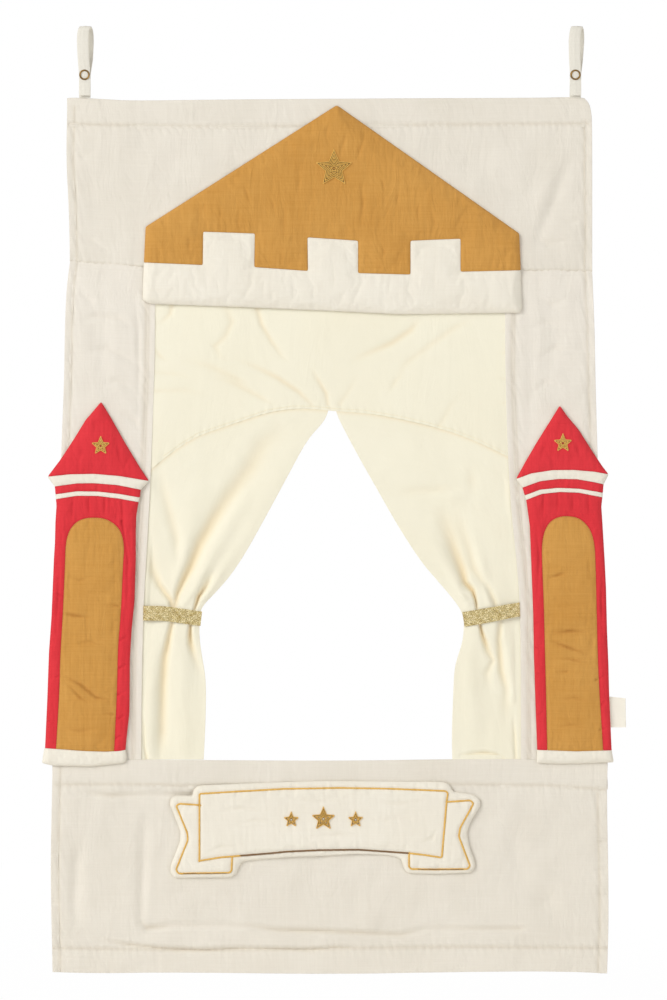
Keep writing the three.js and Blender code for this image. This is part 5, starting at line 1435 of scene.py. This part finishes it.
# each loop hangs a little aslant: (z, shift in X in mm)
loops = {
    "left": {"centre": -0.336,
             "strap": [(-0.098, 0.2), (-0.066, 0.3), (-0.045, 3.2), (-0.020, 4.2), (-0.010, 4.0),
                       (-0.003, 3.0), (0.0005, 1.2)],
             "flap": [(-0.095, 0.0), (-0.066, 0.2), (-0.04, -1.8), (-0.020, -2.6), (-0.010, -2.2),
                      (-0.003, -0.8), (0.0005, 1.2)]},
    "right": {"centre": 0.336,
              "strap": [(-0.098, 0.0), (-0.066, 0.2), (-0.045, 3.0), (-0.020, 5.0), (-0.010, 5.0),
                        (-0.003, 4.2), (0.0005, 2.4)],
              "flap": [(-0.095, 0.2), (-0.066, 0.2), (-0.04, -1.4), (-0.020, -1.8), (-0.010, -0.8),
                       (-0.003, 0.6), (0.0005, 2.4)]}}


def strap(name, centre, leg, slant):
    given = loopSettings
    leg = np.array(leg)
    side = alongPath(softened(leg), np.linspace(0, 1, max(8, round(length(leg) / given["spacing"]))))
    heights, shifts = np.array(slant, dtype=float).T
    across = np.linspace(-0.5, 0.5, given["columns"])
    tangent = np.gradient(side, axis=0)
    tangent /= np.linalg.norm(tangent, axis=1, keepdims=True)
    normal = np.column_stack((-tangent[:, 1], tangent[:, 0]))
    dip = -given["foldMark"] * near(across, given["foldMarkWidth"]) + given["curl"] * (across * 2) ** 4
    shift = np.interp(side[:, 1], heights, shifts) * mm
    grid = np.zeros((len(side), len(across), 3))
    grid[..., 0] = centre + shift[:, None] + across[None, :] * given["width"]
    grid[..., 1:] = side[:, None, :] + normal[:, None, :] * dip[None, :, None]
    if side[0, 1] < side[-1, 1]:
        grid = grid[::-1]
    return gridPiece(name, grid, tape, given["thickness"])


straps = {side: strap(side + "LoopStrap", loop["centre"], backLeg, loop["strap"])
          for side, loop in loops.items()}
flaps = {side: strap(side + "LoopFlap", loop["centre"], frontLeg, loop["flap"])
         for side, loop in loops.items()}


def turned(name, centre, profile, material, turns=40):
    # a ring turned about the Y axis; profile: (radius mm, y mm) pairs, in metres once built
    angles = np.linspace(0, math.tau, turns, endpoint=False)
    points = [(centre.x + radius * math.cos(angle), centre.y + depth, centre.z + radius * math.sin(angle))
              for radius, depth in np.array(profile) * mm for angle in angles]
    faces = []
    for k in range(len(profile)):
        row, nextRow = k * turns, (k + 1) % len(profile) * turns
        for j in range(turns):
            after = (j + 1) % turns
            faces.append((row + j, row + after, nextRow + after, nextRow + j))
    return smoothOnce(newPiece(name, points, faces, material), 70)


# a snap's rolled ring with a bead round its opening: (mm in from its rim, share of its half depth)
snapProfile = [(0.5, -0.9), (0, -0.2), (0.15, 0.5), (0.7, 0.95), (1.3, 0.8), (1.6, 0.45), (2.0, 0.75),
               (2.4, 0.3), (2.3, -0.9)]


def snapRing(name, node, outward):
    # outward is -1 on the front and 1 on the back
    low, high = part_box(node)
    half = (high.y - low.y) / 2 * 1000
    outer = (high.x - low.x) / 2 * 1000
    profile = [(outer - inset, outward * half * share) for inset, share in snapProfile]
    return turned(name, (low + high) / 2, profile[::outward], brass)


caps = {side: snapRing(side + "SnapCap", side + "_snap_cap", -1) for side in loops}
plates = {side: snapRing(side + "SnapPlate", side + "_snap_plate", 1) for side in loops}
for node, material in (("left_snap_socket", brass), ("right_snap_socket", brass), ("left_snap_stud", brass),
                       ("right_snap_stud", brass), ("top_rod", beech), ("sill_rod", beech)):
    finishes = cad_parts[node].data.materials
    finishes.clear()
    finishes.append(material)


# the side label: a bare folded tape in the right outer seam
labelSettings = {"spacing": 0.0016, "front": -0.0003, "wave": 0.0006, "waveSize": 0.03, "seamReach": 0.01,
                 "thickness": 0.0004}
labelCorners = fromPhoto([(605.5, 696.1), (625.2, 698.2), (606, 727.2), (625.7, 727.4)])
labelFold = [(-0.3, 0.35), (0.2, 0.75), (8, 0.8), (18, 0.85), (24, 0.85)]


def sideLabel():
    given = labelSettings
    edges = [labelCorners[pair] for pair in ([0, 1], [2, 3], [0, 2], [1, 3])]
    grid = patch(*edges, given["spacing"])
    x, z = grid[..., 0], grid[..., 2]
    free = smoothStep((x - x.min()) / given["seamReach"])
    grid[..., 1] = given["front"] + given["wave"] * waves(131, given["waveSize"])(x, z) * free
    return gridPiece("sideLabel", addFold(grid, "right", labelFold), labelWhite, given["thickness"])


label = sideLabel()
print("loops, snaps and label ready")


# top-stitching on the canvas and the cream cloth
seamStitching = {"lift": 0.0001, "strapRow": 0.0062, "strapFront": -0.0011, "strapHeight": -0.0935}
onCanvas = surfaceOf(upperPanel, leftStrip, rightStrip, lowerPanel)
canvasLines = ([casingSeam, besideEdge(headSeam, 0, -1.6)] + upperSeams[2:] + leftSeams + rightSeams
               + lowerSeams)
canvasPaths = [onSurface(onCanvas, fromPhoto(line), seamStitching["lift"]) for line in canvasLines]
canvasStitching = sew("canvasStitching", canvasPaths, topStitch, canvasThread, 21)
archLine = fromPhoto(besideEdge(archSeam[1:-1], 0, -2.4))
archPath = onSurface(surfaceOf(valanceCloth), archLine, seamStitching["lift"])
archStitching = sew("archStitching", [archPath], topStitch, creamThread, 22)
strapPaths = []
for loop in loops.values():
    middle, reach = loop["centre"], seamStitching["strapRow"]
    row = np.linspace(middle - reach, middle + reach, 6)
    strapPaths.append(np.array([(x, seamStitching["strapFront"], seamStitching["strapHeight"]) for x in row]))
strapStitching = sew("strapStitching", strapPaths, topStitch, canvasThread, 23)
print("stitching ready")


# what each piece rides on, its slot, and the CAD node that it stands for
def place(piece, slot, node=None, body="root"):
    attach(piece, body)
    if node is not None:
        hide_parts(node)


for piece, slot, *node in (
        (upperPanel, "canvas", "upper_panel"), (leftStrip, "canvas", "left_side_strip"),
        (rightStrip, "canvas", "right_side_strip"), (lowerPanel, "canvas", "lower_panel"),
        (valanceCloth, "cream", "valance"), (leftCurtainSeam, "cream"), (rightCurtainSeam, "cream"),
        (label, "white", "side_label"), (roofParts["roofGable"], "mustard", "roof_gable"),
        (roofParts["battlementPad"], "white", "battlement"), (roofBacking, "white", "roof_backing"),
        (bannerPad, "white", "banner_pad"), (bannerBacking, "white", "banner_backing"),
        (bannerFrameLine, "thread", "banner_frame_line"), (bannerLowerLine, "thread"),
        (leftTailLine, "thread", "banner_left_tail_line"),
        (rightTailLine, "thread", "banner_right_tail_line"), (tailFeetLine, "thread"),
        (canvasStitching, "canvas"), (archStitching, "canvas"), (strapStitching, "canvas")):
    place(piece, slot, *node)
for node, piece in stars.items():
    place(piece, "thread", node)
for shadeRow in starShadeRows:
    place(shadeRow, "thread")
towerParts = (("Roof", "red", "roof"), ("EavesBand", "white", "eaves_band"),
              ("NeckBand", "red", "neck_band"), ("ThinBand", "white", "thin_band"), ("Wall", "red", "body"),
              ("Window", "mustard", "arch_window"), ("BaseHem", "white", "base_hem"))
for side, parts, rear, tieback in (("left", leftParts, leftTowerBacking, leftTiebackBack),
                                   ("right", rightParts, rightTowerBacking, rightTiebackBack)):
    for part, slot, node in towerParts:
        place(parts[side + "Tower" + part], slot, side + "_tower_" + node)
    place(rear, "white", side + "_tower_backing")
    place(tieback, "glitter", side + "_tieback_back", side + "_curtain")
    place(straps[side], "canvas", side + "_loop_strap")
    place(caps[side], "brass", side + "_snap_cap", side + "_loop_flap")
    place(plates[side], "brass", side + "_snap_plate")


# cloth that crosses a joint: the curtains, the front ribbons and the flaps take their world place into their
# meshes, and their CAD parts are hidden
def bend(piece, node):
    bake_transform(piece)
    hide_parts(node)


for side, cloth, x in (("left", leftCurtain, -0.2), ("right", rightCurtain, 0.2)):
    bend(cloth, side + "_curtain")
for side, piece, hinge, inward in (("left", leftTiebackFront, -0.2526, 1),
                                   ("right", rightTiebackFront, 0.2525, -1)):
    bend(piece,
         side + "_tieback_front")
for side, loop in loops.items():
    bend(flaps[side],
         side + "_loop_flap")

# camera, light and floor
view = {"x": 0.0048, "z": -0.648, "distance": 6.0, "frameHeight": 1.37, "sensor": 36.0}
cameraData = bpy.data.cameras.new("photoCamera")
cameraData.sensor_fit = "VERTICAL"
cameraData.sensor_height = view["sensor"]
cameraData.lens = view["sensor"] * view["distance"] / view["frameHeight"]
camera = linked("photoCamera", cameraData)
camera.location = (view["x"], -view["distance"], view["z"])
camera.rotation_euler = (math.pi / 2, 0, 0)
bpy.context.scene.camera = camera

# each lamp: its name, place, aim, size and power
for name, spot, aim, size, power in (("windowKey", (-5.0, -4.0, 2.6), (0, 0, -0.65), 3.4, 318),
                                     ("roomFill", (3.0, -3.4, -1.2), (0, 0, -0.7), 3.0, 66),
                                     ("rearFill", (0.8, 4.2, 0.4), (0, 0, -0.7), 2.6, 84)):
    lampData = bpy.data.lights.new(name, "AREA")
    lampData.shape = "SQUARE"
    lampData.size = size
    lampData.energy = power
    lamp = linked(name, lampData)
    lamp.location = spot
    lamp.rotation_euler = (Vector(aim) - Vector(spot)).to_track_quat("-Z", "Y").to_euler()
studio = {"ambient": 0.42, "floorHeight": -1.4, "floorHalf": 3.0, "floorGlow": 0.96}


def seenDirectly(tree):
    # 1 for what the camera, gloss and glass see, 0 for the light that falls on the object
    rays = tree.nodes.new("ShaderNodeLightPath").outputs
    first = mathNode(tree, "MAXIMUM", rays["Is Camera Ray"], rays["Is Glossy Ray"])
    return mathNode(tree, "MAXIMUM", first, rays["Is Transmission Ray"])


world = bpy.data.worlds.new("paperWhite")
bpy.context.scene.world = world
world.use_nodes = True
tree = world.node_tree
strength = mathNode(tree, "MULTIPLY_ADD", seenDirectly(tree), 1 - studio["ambient"], studio["ambient"])
feed(tree, tree.nodes["Background"], {"Color": (1, 1, 1, 1), "Strength": strength})

paper, tree, surface = newMaterial("paleFloor")
feed(tree, surface, {"Base Color": paint(248, 247, 245), "Roughness": 0.9})
glow = addNode(tree, "ShaderNodeEmission", {"Color": (1, 1, 1, 1)})
share = mathNode(tree, "MULTIPLY", seenDirectly(tree), studio["floorGlow"])
mix = addNode(tree, "ShaderNodeMixShader", {0: share, 1: surface.outputs[0], 2: glow.outputs[0]})
feed(tree, tree.nodes["Material Output"], {"Surface": mix.outputs[0]})
half = studio["floorHalf"]
corners = [(x * half, y * half, studio["floorHeight"]) for x, y in ((-1, -1), (1, -1), (1, 1), (-1, 1))]
floor = newPiece("studioFloor", corners, [(0, 1, 2, 3)], paper)
bpy.context.scene.view_settings.view_transform = "Standard"

bpy.context.view_layer.update()
print("scene ready")
